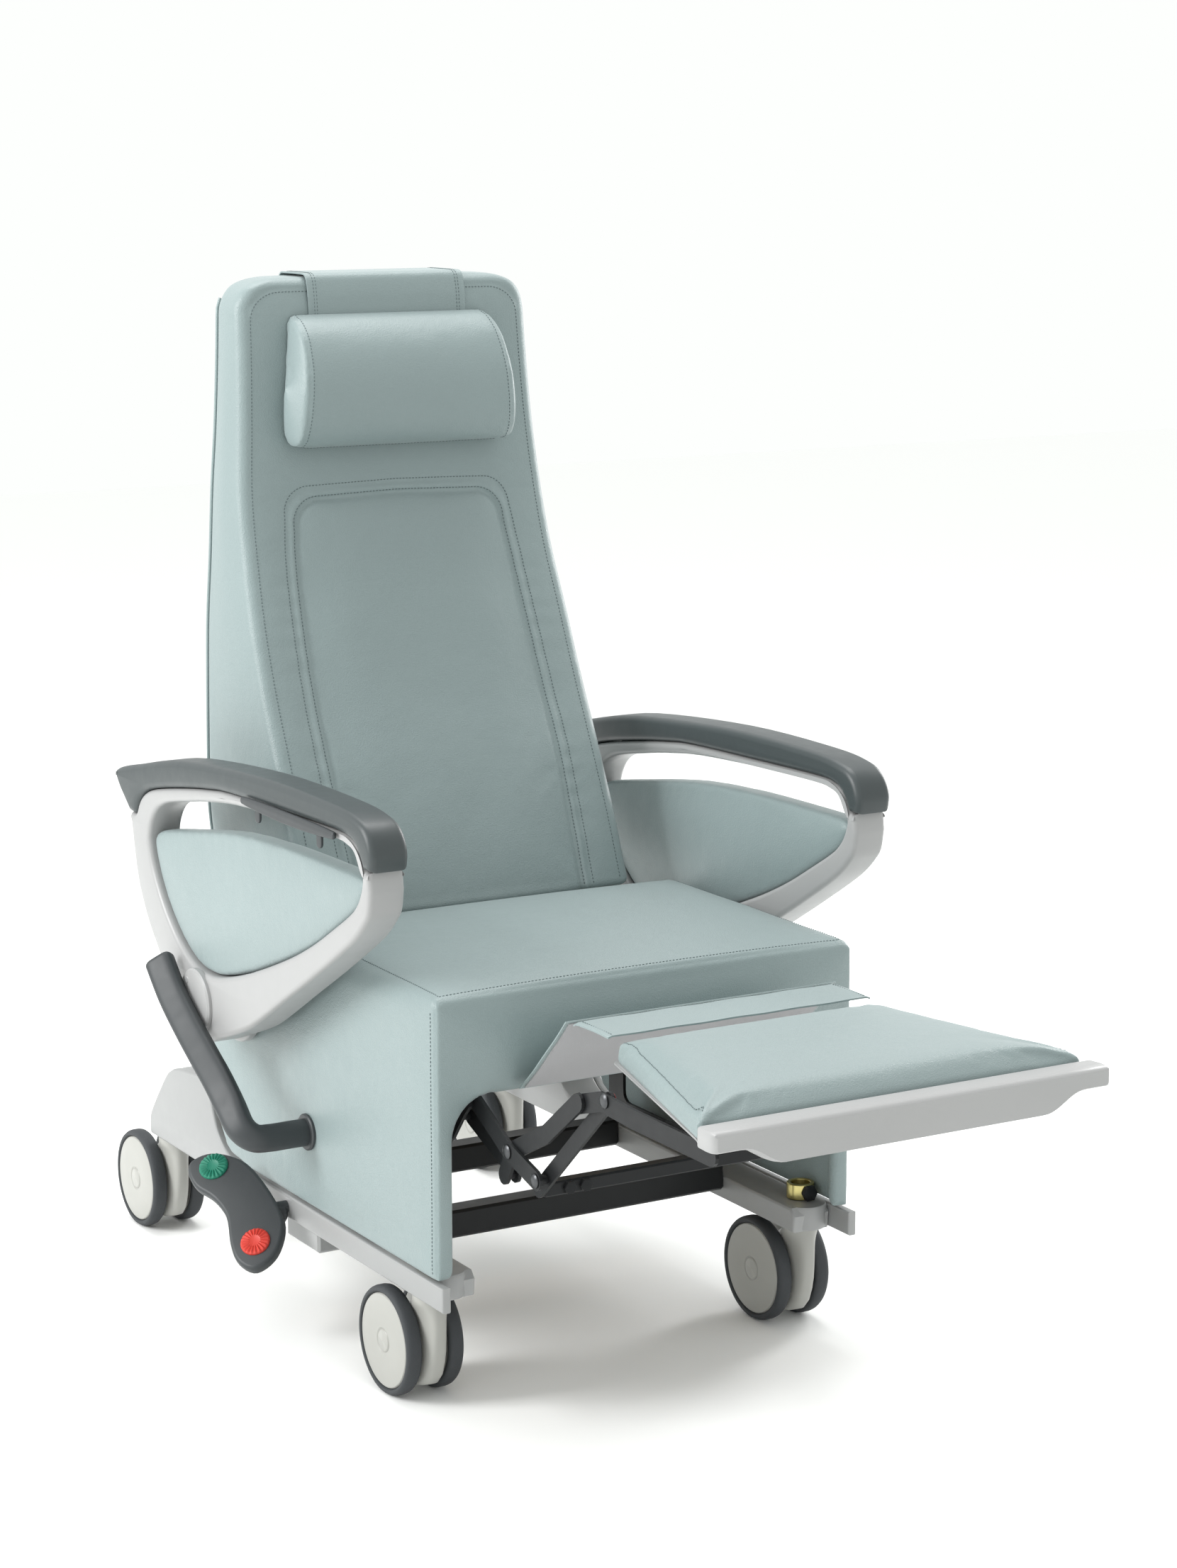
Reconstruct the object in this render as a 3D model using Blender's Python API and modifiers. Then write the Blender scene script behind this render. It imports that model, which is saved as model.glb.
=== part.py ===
"""A patient recliner chair: drop arms, reclining back, raised legrest, four casters.

+Z is up, the chair faces -Y and x = 0 is its plane of symmetry. Lengths are in metres.
"Left" is the -X side. Outlines of side plates are (y, z) pairs.
"""

import math

import bmesh
import bpy
from mathutils import Matrix
from mathutils import Vector

ORIGIN = Vector((0.012, 0.217, 0.0))
GAP = 0.0004
SIDES = (("left", -1.0), ("right", 1.0))

# Running gear
WHEEL_RADIUS = 0.0625
WHEEL_STEPS = 24
STEM_X = 0.245
STEM_Y = (("front", -0.335), ("rear", 0.365))
CASTER_TRAIL = 0.050
STEM_RADIUS = 0.011
STEM_TOP = 0.170
RAIL_X = (0.210, 0.272)
RAIL_OUTLINE = (
    (-0.412, 0.130), (-0.412, 0.159), (0.100, 0.159), (0.142, 0.164),
    (0.172, 0.1825), (0.190, 0.214), (0.200, 0.240), (0.206, 0.244),
    (0.218, 0.2445), (0.2915, 0.2365), (0.314, 0.229), (0.3325, 0.2155),
    (0.378, 0.163), (0.383, 0.150), (0.383, 0.130),
)
TUBES = (("front", -0.225, 0.1435), ("middle", 0.020, 0.135), ("rear", 0.285, 0.150))
TUBE_DEPTH = 0.030
TUBE_HEIGHT = 0.033

# Seat
SEAT_HALF = 0.2745
SEAT_FRONT = -0.4015
PANEL_TOP = 0.3915
SEAT_TOP = 0.483
SEAT_REAR = -0.002
PANEL_THICKNESS = 0.0125
PLATE_X = (0.218, 0.222)

# Backrest
BACK_PIVOT = (0.030, 0.455)
# height, half width, front face
BACK_FACE = (
    (0.470, 0.223, 0.010), (0.560, 0.223, 0.048), (0.640, 0.222, 0.084),
    (0.720, 0.221, 0.124), (0.800, 0.219, 0.158), (0.880, 0.214, 0.188),
    (0.960, 0.210, 0.209), (1.040, 0.204, 0.219), (1.120, 0.200, 0.226),
    (1.180, 0.197, 0.231), (1.204, 0.188, 0.233), (1.2155, 0.165, 0.234),
)
CUSHION_DEPTH = 0.040
BOARD_DEPTH = 0.012
BACK_REAR = 0.302
PILLOW_PROFILE = (
    (0.2115, 1.024), (0.2250, 1.160), (0.215, 1.169), (0.198, 1.163),
    (0.178, 1.145), (0.163, 1.115), (0.157, 1.085), (0.158, 1.055),
    (0.164, 1.031), (0.175, 1.017), (0.192, 1.014), (0.2055, 1.017),
)

# Arms
ARM_PIVOT = (0.082, 0.378)
ARM_X = (0.290, 0.334)
# where the soft cap meets the frame, rear to front
CAP_JOINT = (
    (0.275, 0.574), (0.257, 0.574), (0.247, 0.592), (0.236, 0.601), (0.214, 0.6105),
    (0.171, 0.6195), (0.108, 0.630), (0.047, 0.6385), (-0.012, 0.644), (-0.163, 0.648),
    (-0.287, 0.6505), (-0.322, 0.648), (-0.342, 0.640), (-0.360, 0.6185),
    (-0.371, 0.6185),
)
CAP_TOP = (
    (-0.377, 0.645), (-0.364, 0.662), (-0.339, 0.673), (-0.271, 0.6785),
    (-0.093, 0.6775), (0.122, 0.661), (0.248, 0.637), (0.314, 0.6215),
    (0.3155, 0.612), (0.303, 0.598),
)
FRAME_UNDER = (
    (-0.3705, 0.598), (-0.367, 0.574), (-0.358, 0.562), (-0.335, 0.540),
    (-0.300, 0.517), (-0.155, 0.432), (-0.058, 0.377), (-0.019, 0.361),
    (0.036, 0.341), (0.060, 0.332), (0.082, 0.329), (0.104, 0.332), (0.124, 0.342),
    (0.150, 0.362), (0.200, 0.416), (0.224, 0.438), (0.244, 0.469), (0.258, 0.493),
    (0.270, 0.544),
)
OPENING_TOP = (
    (0.213, 0.570), (0.205, 0.583), (0.190, 0.595), (0.161, 0.605), (0.048, 0.624),
    (-0.031, 0.6335), (-0.160, 0.640), (-0.287, 0.643), (-0.325, 0.640),
    (-0.345, 0.628), (-0.352, 0.610),
)
INFILL_UNDER = (
    (-0.346, 0.592), (-0.337, 0.577), (-0.318, 0.563), (-0.230, 0.513),
    (-0.138, 0.472), (-0.042, 0.4375), (0.018, 0.421), (0.058, 0.416),
    (0.098, 0.421), (0.139, 0.441), (0.179, 0.475), (0.208, 0.514), (0.2225, 0.545),
)
INFILL_TOP = (
    (0.206, 0.561), (0.132, 0.575), (0.050, 0.5885), (-0.029, 0.5985),
    (-0.143, 0.605), (-0.268, 0.607), (-0.336, 0.606),
)
BOSS_RADIUS = 0.0405
STUB_RADIUS = 0.0255

# Legrest linkage pivots, (y, z)
LIFT_ROOT = (-0.3754, 0.3622)
STAY_ROOT = (-0.3403, 0.3265)
LIFT_CARRY = (-0.4608, 0.3187)
LIFT_FRONT = (-0.5208, 0.3024)
STAY_CARRY = (-0.4428, 0.2865)
CARRY_REST = (-0.6010, 0.4077)
FRONT_REST = (-0.6493, 0.4207)
CROSS_BAR = (-0.5024, 0.2855)
LIFT_X = (0.2135, 0.2175)
CARRY_X = (0.2090, 0.2130)
BRACKET_X = (0.2045, 0.2085)
FRONT_X = (0.2000, 0.2040)
STAY_X = (0.1955, 0.1995)
PIN_RADIUS = 0.0050
PIN_HOLE = 0.0054

# Legrest
REST_REAR = -0.5850
REST_FRONT = -0.8745
REST_TOP = 0.467
FLAP_HALF = 0.172
FLAP_FOLD = (-0.510, 0.467)
FLAP_ROOT = (-0.4080, 0.3680)

# Lever and pedal, left side only
LEVER_ROOT = (-0.090, 0.254)
LEVER_LINE = (
    (-0.092, 0.254), (-0.091, 0.274), (-0.063, 0.2906), (-0.024, 0.308),
    (0.060, 0.355), (0.104, 0.384), (0.140, 0.417),
)
PEDAL_HUB = (-0.021, 0.1445)
PEDAL_NORMAL = Vector((-0.50, -0.42, 0.757)).normalized()
PEDAL_CENTRE = Vector((-0.300, -0.020, 0.146))
PEDAL_OUTLINE = (
    (-0.342, 0.089), (-0.321, 0.078), (-0.305, 0.052), (-0.296, 0.032), (-0.294, -0.053),
    (-0.312, -0.077), (-0.337, -0.075), (-0.349, -0.050), (-0.349, -0.030),
    (-0.338, 0.0025), (-0.340, 0.0315), (-0.350, 0.0585),
)
STEER_PAD = (-0.325, 0.066)
BRAKE_PAD = (-0.325, -0.051)

# colour, roughness, metallic
FINISHES = {
    "vinyl": ((0.52, 0.60, 0.58, 1.0), 0.55, 0.0),
    "paint": ((0.66, 0.67, 0.67, 1.0), 0.45, 0.0),
    "shell": ((0.78, 0.79, 0.78, 1.0), 0.50, 0.0),
    "cream": ((0.70, 0.70, 0.66, 1.0), 0.50, 0.0),
    "dark": ((0.09, 0.10, 0.11, 1.0), 0.60, 0.0),
    "tyre": ((0.06, 0.065, 0.07, 1.0), 0.75, 0.0),
    "steel": ((0.03, 0.032, 0.035, 1.0), 0.45, 0.7),
    "zinc": ((0.60, 0.50, 0.22, 1.0), 0.35, 0.9),
    "board": ((0.42, 0.30, 0.18, 1.0), 0.70, 0.0),
    "green": ((0.0, 0.18, 0.10, 1.0), 0.50, 0.0),
    "red": ((0.52, 0.03, 0.02, 1.0), 0.50, 0.0),
}


def clear_scene():
    for item in list(bpy.data.objects):
        bpy.data.objects.remove(item, do_unlink=True)


def new_collection(name):
    made = bpy.data.collections.new(name)
    bpy.context.scene.collection.children.link(made)
    return made


def new_material(name, colour, roughness, metallic):
    made = bpy.data.materials.new(name)
    made.use_nodes = True
    shader = made.node_tree.nodes["Principled BSDF"]
    shader.inputs["Base Color"].default_value = colour
    shader.inputs["Roughness"].default_value = roughness
    shader.inputs["Metallic"].default_value = metallic
    made.diffuse_color = colour
    return made


def body(name, pivot=(0.0, 0.0, 0.0), parent=None):
    """An empty on the joint axis of one rigid body."""
    made = bpy.data.objects.new(name, None)
    made.empty_display_size = 0.03
    CHAIR.objects.link(made)
    made.location = ORIGIN
    if parent:
        made.parent = PIVOTS[parent][0]
        made.location = Vector(pivot) - PIVOTS[parent][1]
    PIVOTS[name] = (made, Vector(pivot))


def place(name, mesh, owner, collection):
    """Hangs a mesh that is drawn in the chair's own coordinates under a body's empty."""
    made = bpy.data.objects.new(name, mesh)
    collection.objects.link(made)
    made.parent = PIVOTS[owner][0]
    made.location = -PIVOTS[owner][1]
    return made


def node(name, mesh, owner, finish, bevel=0.0, segments=1):
    made = place(name, mesh, owner, CHAIR)
    mesh.materials.append(MATERIALS[finish])
    if bevel:
        edge = made.modifiers.new("Bevel", "BEVEL")
        edge.width = bevel
        edge.segments = segments
        edge.limit_method = "ANGLE"
        edge.angle_limit = math.radians(50)
    return made


def combine(target, owner, operation, *meshes):
    """Adds a Boolean of each mesh to the target."""
    for mesh in meshes:
        cutter = place(f"{target.name}_tool", mesh, owner, TOOLS)
        cutter.hide_render = True
        cutter.display_type = "WIRE"
        change = target.modifiers.new(operation.title(), "BOOLEAN")
        change.operation = operation
        change.solver = "EXACT"
        change.object = cutter


def finished(bm, name="solid"):
    bmesh.ops.remove_doubles(bm, verts=bm.verts, dist=1e-6)
    bmesh.ops.recalc_face_normals(bm, faces=bm.faces)
    mesh = bpy.data.meshes.new(name)
    bm.to_mesh(mesh)
    bm.free()
    return mesh


def loft(rings):
    """A closed body through rings of points, each ring with the same count."""
    bm = bmesh.new()
    rows = [[bm.verts.new(point) for point in ring] for ring in rings]
    count = len(rows[0])
    for low, high in zip(rows, rows[1:]):
        for i in range(count):
            j = (i + 1) % count
            bm.faces.new((low[i], low[j], high[j], high[i]))
    bm.faces.new(rows[0])
    bm.faces.new(rows[-1])
    return finished(bm)


def box(low, high):
    corners = ((0, 0), (1, 0), (1, 1), (0, 1))
    ends = ((low[0], high[0]), (low[1], high[1]))
    return loft([[(ends[0][i], ends[1][j], z) for i, j in corners] for z in (low[2], high[2])])


def circle(centre, radius, steps=16, phase=0.0):
    turns = [2 * math.pi * (i + phase) / steps for i in range(steps)]
    return [(centre[0] + radius * math.cos(a), centre[1] + radius * math.sin(a)) for a in turns]


def plate(outline, low, high, axis="x", holes=()):
    """A flat outline with holes in it, extruded along one axis."""
    curve = bpy.data.curves.new("outline", "CURVE")
    curve.dimensions = "2D"
    curve.fill_mode = "BOTH"
    curve.extrude = abs(high - low) / 2
    for points in (outline, *holes):
        spline = curve.splines.new("POLY")
        spline.points.add(len(points) - 1)
        for point, (u, v) in zip(spline.points, points):
            point.co = (u, v, 0.0, 1.0)
        spline.use_cyclic_u = True
    drawn = bpy.data.objects.new("outline", curve)
    mesh = bpy.data.meshes.new_from_object(drawn)
    bpy.data.objects.remove(drawn, do_unlink=True)
    middle = (low + high) / 2
    rows = {
        "x": ((0, 0, 1, middle), (1, 0, 0, 0), (0, 1, 0, 0), (0, 0, 0, 1)),
        "y": ((1, 0, 0, 0), (0, 0, 1, middle), (0, 1, 0, 0), (0, 0, 0, 1)),
        "z": ((1, 0, 0, 0), (0, 1, 0, 0), (0, 0, 1, middle), (0, 0, 0, 1)),
    }
    bm = bmesh.new()
    bm.from_mesh(mesh)
    bm.transform(Matrix(rows[axis]))
    return finished(bm)


def rod(centre, radius, low, high, axis="x", steps=16):
    return plate(circle(centre, radius, steps, 0.5), low, high, axis)


def lathe_x(profile, centre, steps):
    """A closed body turned about a line along X; the profile runs (x, radius) end to end."""
    bm = bmesh.new()
    rows = []
    for x, radius in profile:
        ring = circle((centre[1], centre[2]), radius / math.cos(math.pi / steps), steps, 0.5)
        rows.append([bm.verts.new((centre[0] + x, y, z)) for y, z in ring])
    for low, high in zip(rows, rows[1:]):
        for i in range(steps):
            j = (i + 1) % steps
            bm.faces.new((low[i], low[j], high[j], high[i]))
    bm.faces.new(rows[0])
    bm.faces.new(rows[-1])
    return finished(bm)


def strip(line, half, steps=6):
    """The outline of a bar of constant width along a bent line, with round ends."""
    points = [Vector(point) for point in line]
    ways = [(b - a).normalized() for a, b in zip(points, points[1:])]
    left, right = [], []
    for i, point in enumerate(points):
        before = ways[max(i - 1, 0)]
        after = ways[min(i, len(ways) - 1)]
        way = (before + after).normalized()
        normal = Vector((-way.y, way.x)) * (half / max(way.dot(after), 0.3))
        left.append(point + normal)
        right.append(point - normal)

    def cap(centre, way, sign):
        made = []
        for k in range(1, steps):
            turn = math.pi * k / steps
            across = Vector((-way.y, way.x)) * sign * math.cos(turn)
            made.append(centre + half * (across + way * sign * math.sin(turn)))
        return made

    outline = left + cap(points[-1], ways[-1], 1.0) + right[::-1]
    outline += cap(points[0], ways[0], -1.0)
    return [tuple(point) for point in outline]


def inset(outline, distance):
    """The outline moved inwards; it runs either way round."""
    points = [Vector(point) for point in outline]
    area = sum(a.x * b.y - b.x * a.y for a, b in zip(points, points[1:] + points[:1]))
    sign = 1.0 if area > 0 else -1.0
    moved = []
    for i, point in enumerate(points):
        before = (point - points[i - 1]).normalized()
        after = (points[(i + 1) % len(points)] - point).normalized()
        way = (before + after).normalized()
        normal = Vector((-way.y, way.x)) * sign
        moved.append(tuple(point + normal * distance / max(way.dot(after), 0.4)))
    return moved


def rounded(outline, radius, steps=4):
    """The outline with each corner replaced by an arc-like bend."""
    points = [Vector(point) for point in outline]
    made = []
    for i, corner in enumerate(points):
        start = corner + (points[i - 1] - corner).normalized() * radius
        end = corner + (points[(i + 1) % len(points)] - corner).normalized() * radius
        for k in range(steps + 1):
            t = k / steps
            made.append(tuple(start * (1 - t) ** 2 + corner * 2 * t * (1 - t) + end * t * t))
    return made


def at_side(span, side):
    """A span of |x| on one side, low value first."""
    return tuple(sorted((span[0] * side, span[1] * side)))


def between(table, height, column):
    for low, high in zip(table, table[1:]):
        if height <= high[0]:
            t = (height - low[0]) / (high[0] - low[0])
            return low[column] + t * (high[column] - low[column])
    return table[-1][column]


def build_frame():
    body("base", parent="chair")
    for name, side in SIDES:
        x = at_side(RAIL_X, side)
        rail = node(f"side_rail_{name}", plate(RAIL_OUTLINE, *x), "base", "paint", 0.004)
        for _, y in STEM_Y:
            bore = rod((STEM_X * side, y), 0.0120, 0.120, 0.172, "z", 24)
            combine(rail, "base", "DIFFERENCE", bore)
        if side < 0:
            bore = rod(PEDAL_HUB, 0.0080, x[0] - 0.01, x[1] + 0.01)
            combine(rail, "base", "DIFFERENCE", bore)
        ring = circle((STEM_X * side, STEM_Y[0][1]), 0.0165, 24)
        hole = circle((STEM_X * side, STEM_Y[0][1]), 0.0120, 24)
        node(f"stem_bush_{name}", plate(ring, 0.1595, 0.178, "z", [hole]), "base", "zinc")
    for name, y, z in TUBES:
        reach = RAIL_X[0] - GAP
        low = (-reach, y, z)
        high = (reach, y + TUBE_DEPTH, z + TUBE_HEIGHT)
        node(f"{name}_cross_tube", box(low, high), "base", "steel", 0.003)
    low = (-0.262, -0.085, 0.102)
    node("pedal_housing", box(low, (-0.222, 0.0, 0.1296)), "base", "paint", 0.003)


def build_casters():
    outline = (
        (-0.024, 0.128), (-0.026, 0.090), (-0.020, 0.045), (0.0, 0.020), (0.030, 0.012),
        (0.060, 0.022), (0.080, 0.045), (0.085, 0.0625), (0.075, 0.090), (0.045, 0.105),
        (0.024, 0.128),
    )
    half = (
        (0.0165, 0.006), (0.0165, 0.055), (0.0180, 0.0605), (0.0225, 0.0625),
        (0.0290, 0.0625), (0.0335, 0.0605), (0.0362, 0.0555), (0.0345, 0.047),
        (0.0320, 0.012),
    )
    profile = [(-x, r) for x, r in half[::-1]] + list(half)
    for row, y in STEM_Y:
        for name, side in SIDES:
            x = STEM_X * side
            fork = f"caster_{row}_{name}"
            body(fork, (x, y, 0.130), "base")
            axle = (x, y + CASTER_TRAIL, WHEEL_RADIUS)
            moved = [(y + s, z) for s, z in outline]
            hole = circle((axle[1], axle[2]), 0.0066, 16)
            mesh = plate(moved, x - 0.014, x + 0.014, "x", [hole])
            housing = node(f"caster_housing_{row}_{name}", mesh, fork, "cream")
            disc = rod((x, y), 0.022, 0.112, 0.1275, "z", 24)
            stem = rod((x, y), STEM_RADIUS, 0.122, STEM_TOP, "z", 24)
            combine(housing, fork, "UNION", disc, stem)
            body(f"wheel_{row}_{name}", axle, fork)
            mesh = lathe_x(profile, axle, WHEEL_STEPS)
            node(f"wheel_pair_{row}_{name}", mesh, f"wheel_{row}_{name}", "tyre")


def build_seat():
    low = (-0.2615, -0.3845, 0.376)
    board = node("seat_board", box(low, (0.2615, 0.060, 0.3905)), "base", "board")
    lug = [(0.018, 0.380), (0.042, 0.380)] + circle(BACK_PIVOT, 0.012, 16)[:9]
    hole = circle(BACK_PIVOT, 0.0053, 12)
    for _, side in SIDES:
        mesh = plate(lug, *at_side((0.158, 0.166), side), "x", [hole])
        combine(board, "base", "UNION", mesh)
    rings = []
    for y, crown in ((-0.4015, 0.0), (-0.385, 0.006), (-0.30, 0.013), (-0.20, 0.014),
                     (-0.10, 0.012), (SEAT_REAR, 0.004)):
        ring = [(-SEAT_HALF, y, 0.392), (SEAT_HALF, y, 0.392)]
        for share in (1.0, 0.94, 0.66, 0.33, 0.0, -0.33, -0.66, -0.94, -1.0):
            rise = 0.004 * (1 - abs(share) ** 16) + crown * (1 - share * share)
            ring.append((share * SEAT_HALF, y, SEAT_TOP - 0.004 + rise))
        rings.append(ring)
    node("seat_cushion", loft(rings), "base", "vinyl")
    sole = (
        (-0.3845, 0.1605), (0.096, 0.1605), (0.136, 0.1655), (0.151, 0.171),
        (0.176, 0.204), (0.189, 0.226), (0.200, 0.2555), (0.205, 0.262),
        (0.205, PANEL_TOP), (-0.3845, PANEL_TOP),
    )
    for name, side in SIDES:
        x = at_side((SEAT_HALF - PANEL_THICKNESS, SEAT_HALF), side)
        node(f"side_panel_{name}", plate(sole, *x), "base", "vinyl")
        ring = circle(ARM_PIVOT, 0.054, 32)
        mesh = plate(ring, *at_side((0.2749, 0.2870), side), "x",
                     [circle(ARM_PIVOT, 0.0262, 24)])
        node(f"pivot_bezel_{name}", mesh, "base", "paint", 0.002)
        outline = (
            (-0.3843, 0.3757), (-0.3843, 0.350), (-0.372, 0.338), (-0.345, 0.304),
            (-0.300, 0.270), (-0.120, 0.1594), (0.060, 0.1594), (0.060, 0.3757),
        )
        window = rounded(((-0.180, 0.236), (-0.090, 0.190), (0.025, 0.190), (0.025, 0.340),
                          (-0.180, 0.340)), 0.015)
        mesh = plate(outline, *at_side(PLATE_X, side), "x", [window])
        made = node(f"mech_plate_{name}", mesh, "base", "steel")
        pin = at_side((LIFT_X[0], PLATE_X[1] - 0.001), side)
        long_pin = at_side((STAY_X[0], PLATE_X[1] - 0.001), side)
        combine(made, "base", "UNION", rod(LIFT_ROOT, PIN_RADIUS, *pin),
                rod(STAY_ROOT, PIN_RADIUS, *long_pin))
    arch = [(-0.2475, 0.1605)]
    for k in range(7):
        turn = math.pi / 2 * k / 6
        arch.append((-0.2230 - 0.0245 * math.cos(turn), 0.3365 + 0.0245 * math.sin(turn)))
    # a slot on each side lets the lift arm through
    arch += [(-0.2190, 0.3610), (-0.2190, 0.3715), (-0.2120, 0.3715), (-0.2120, 0.3610)]
    outline = [(-SEAT_HALF, PANEL_TOP), (-SEAT_HALF, 0.1605)] + arch
    outline += [(-x, z) for x, z in outline[::-1]]
    mesh = plate(outline, SEAT_FRONT, SEAT_FRONT + 0.0165, "y")
    node("front_panel", mesh, "base", "vinyl")


def build_back():
    body("backrest", (0.0, *BACK_PIVOT), "base")
    cushion, shell = [], []
    for height, half, face in BACK_FACE:
        rear = face + CUSHION_DEPTH
        side = [(half, rear), (half, face + 0.009), (half - 0.008, face + 0.001), (0.0, face)]
        ring = side + [(-x, y) for x, y in side[-2::-1]]
        cushion.append([(x, y, height) for x, y in ring])
        level = max(height, 0.474)
        front = between(BACK_FACE, level, 2) + CUSHION_DEPTH + BOARD_DEPTH + 2 * GAP
        drop = max(0.0, 0.600 - level)
        back = BACK_REAR - 2.2 * drop * drop
        side = [(half, front), (half, back - 0.006), (half - 0.006, back)]
        ring = side + [(-x, y) for x, y in side[::-1]]
        shell.append([(x, y, level) for x, y in ring])
    node("back_cushion", loft(cushion), "backrest", "vinyl")
    node("back_shell", loft(shell), "backrest", "vinyl")
    rings = []
    for height in (0.437, 0.470, 0.560, 0.640, 0.720, 0.800, 0.880, 0.960, 1.040, 1.120, 1.180):
        face = between(BACK_FACE, max(height, 0.470), 2)
        if height < 0.470:
            face -= 0.004
        y = face + CUSHION_DEPTH + GAP
        rings.append([(-0.149, y, height), (0.149, y, height),
                      (0.149, y + BOARD_DEPTH, height), (-0.149, y + BOARD_DEPTH, height)])
    node("back_board", loft(rings), "backrest", "board")
    outline = rounded(((0.018, 0.443), (0.058, 0.439), (0.060, 0.467), (0.018, 0.467)), 0.005, 3)
    for name, side in SIDES:
        mesh = plate(outline, *at_side((0.1495, 0.1555), side))
        made = node(f"back_bracket_{name}", mesh, "backrest", "steel")
        pin = rod(BACK_PIVOT, 0.0048, *at_side((0.151, 0.168), side))
        combine(made, "backrest", "UNION", pin)
    line = []
    for height in (1.050, 1.120, 1.180):
        line.append((between(BACK_FACE, height, 2) - 0.0018, height))
    line += [(0.2310, 1.2150), (0.2345, 1.2188), (0.3015, 1.2188), (0.3048, 1.2150),
             (0.3048, 1.060)]
    mesh = plate(strip(line, 0.0012, 2), -0.105, 0.105)
    node("headrest_strap", mesh, "backrest", "vinyl")
    body("headrest", (0.0, 0.190, 1.095), "backrest")
    rings = []
    for x, share in ((-1.0, 0.82), (-0.93, 0.97), (-0.5, 1.0), (0.5, 1.0), (0.93, 0.97),
                     (1.0, 0.82)):
        ring = []
        for y, z in PILLOW_PROFILE:
            near = 0.2115 + (z - 1.024) * 0.0993
            half = 0.149 - (z - 1.014) * 0.08
            ring.append((x * half, near + (y - near) * share, 1.090 + (z - 1.090) * share))
        rings.append(ring)
    node("headrest_pillow", loft(rings), "headrest", "vinyl")


def build_arms():
    frame_outline = list(CAP_JOINT) + list(FRAME_UNDER)
    opening = list(OPENING_TOP) + list(INFILL_UNDER)
    infill = inset(list(INFILL_UNDER) + list(INFILL_TOP), 2 * GAP)
    cap = [(y, z + 0.001) for y, z in CAP_JOINT] + list(CAP_TOP)
    cap[0] = (0.276, 0.576)
    paddle = rounded(((-0.062, 0.637), (-0.062, 0.6525), (-0.303, 0.6545), (-0.303, 0.639)),
                     0.005, 3)
    for name, side in SIDES:
        owner = f"arm_{name}"
        body(owner, (0.312 * side, *ARM_PIVOT), "base")
        x = at_side(ARM_X, side)
        mesh = plate(frame_outline, *x, "x", [opening])
        frame = node(f"arm_frame_{name}", mesh, owner, "shell")
        boss = rod(ARM_PIVOT, BOSS_RADIUS, *at_side((0.330, 0.340), side), "x", 32)
        stub = rod(ARM_PIVOT, STUB_RADIUS, *at_side((0.2752, 0.294), side), "x", 24)
        combine(frame, owner, "UNION", boss, stub)
        node(f"arm_cap_{name}", plate(cap, *x), owner, "dark", 0.006, 2)
        x = at_side((0.292, 0.332), side)
        node(f"arm_panel_{name}", plate(infill, *x), owner, "vinyl")
        latch = f"latch_{name}"
        body(latch, (0.3375 * side, -0.180, 0.6515), owner)
        mesh = plate(paddle, *at_side((0.3348, 0.3410), side))
        node(f"arm_latch_{name}", mesh, latch, "dark")


def build_lever():
    body("lever", (-0.300, *LEVER_ROOT), "base")
    mesh = plate(strip(LEVER_LINE, 0.015), -0.366, -0.348)
    made = node("recline_lever", mesh, "lever", "dark")
    combine(made, "lever", "UNION", rod(LEVER_ROOT, 0.0165, -0.356, -0.2752, "x", 24))


def pedal_point(x, y, rise):
    """The point of the sloping pedal plate above (x, y), lifted along its normal."""
    flat = Vector((x, y, 0.0)) - PEDAL_CENTRE
    z = -(PEDAL_NORMAL.x * flat.x + PEDAL_NORMAL.y * flat.y) / PEDAL_NORMAL.z
    return Vector((x, y, PEDAL_CENTRE.z + z)) + PEDAL_NORMAL * rise


def build_pedal():
    body("pedal", (-0.285, *PEDAL_HUB), "base")
    rings = [[pedal_point(x, y, rise) for x, y in PEDAL_OUTLINE] for rise in (-0.006, 0.006)]
    pedal = node("brake_pedal", loft(rings), "pedal", "dark")
    hub = rod(PEDAL_HUB, 0.014, -0.312, -0.2745, "x", 20)
    shaft = rod(PEDAL_HUB, 0.0072, -0.300, -0.205, "x", 16)
    combine(pedal, "pedal", "UNION", hub, shaft)
    across = PEDAL_NORMAL.cross(Vector((0.0, 1.0, 0.0))).normalized()
    along = PEDAL_NORMAL.cross(across)
    for name, spot, finish in (("steer", STEER_PAD, "green"), ("brake", BRAKE_PAD, "red")):
        rings = []
        for rise in (0.0063, 0.0120):
            centre = pedal_point(*spot, rise)
            rings.append([centre + across * u + along * v
                          for u, v in circle((0.0, 0.0), 0.0185, 20)])
        node(f"{name}_pad", loft(rings), "pedal", finish)


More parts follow.
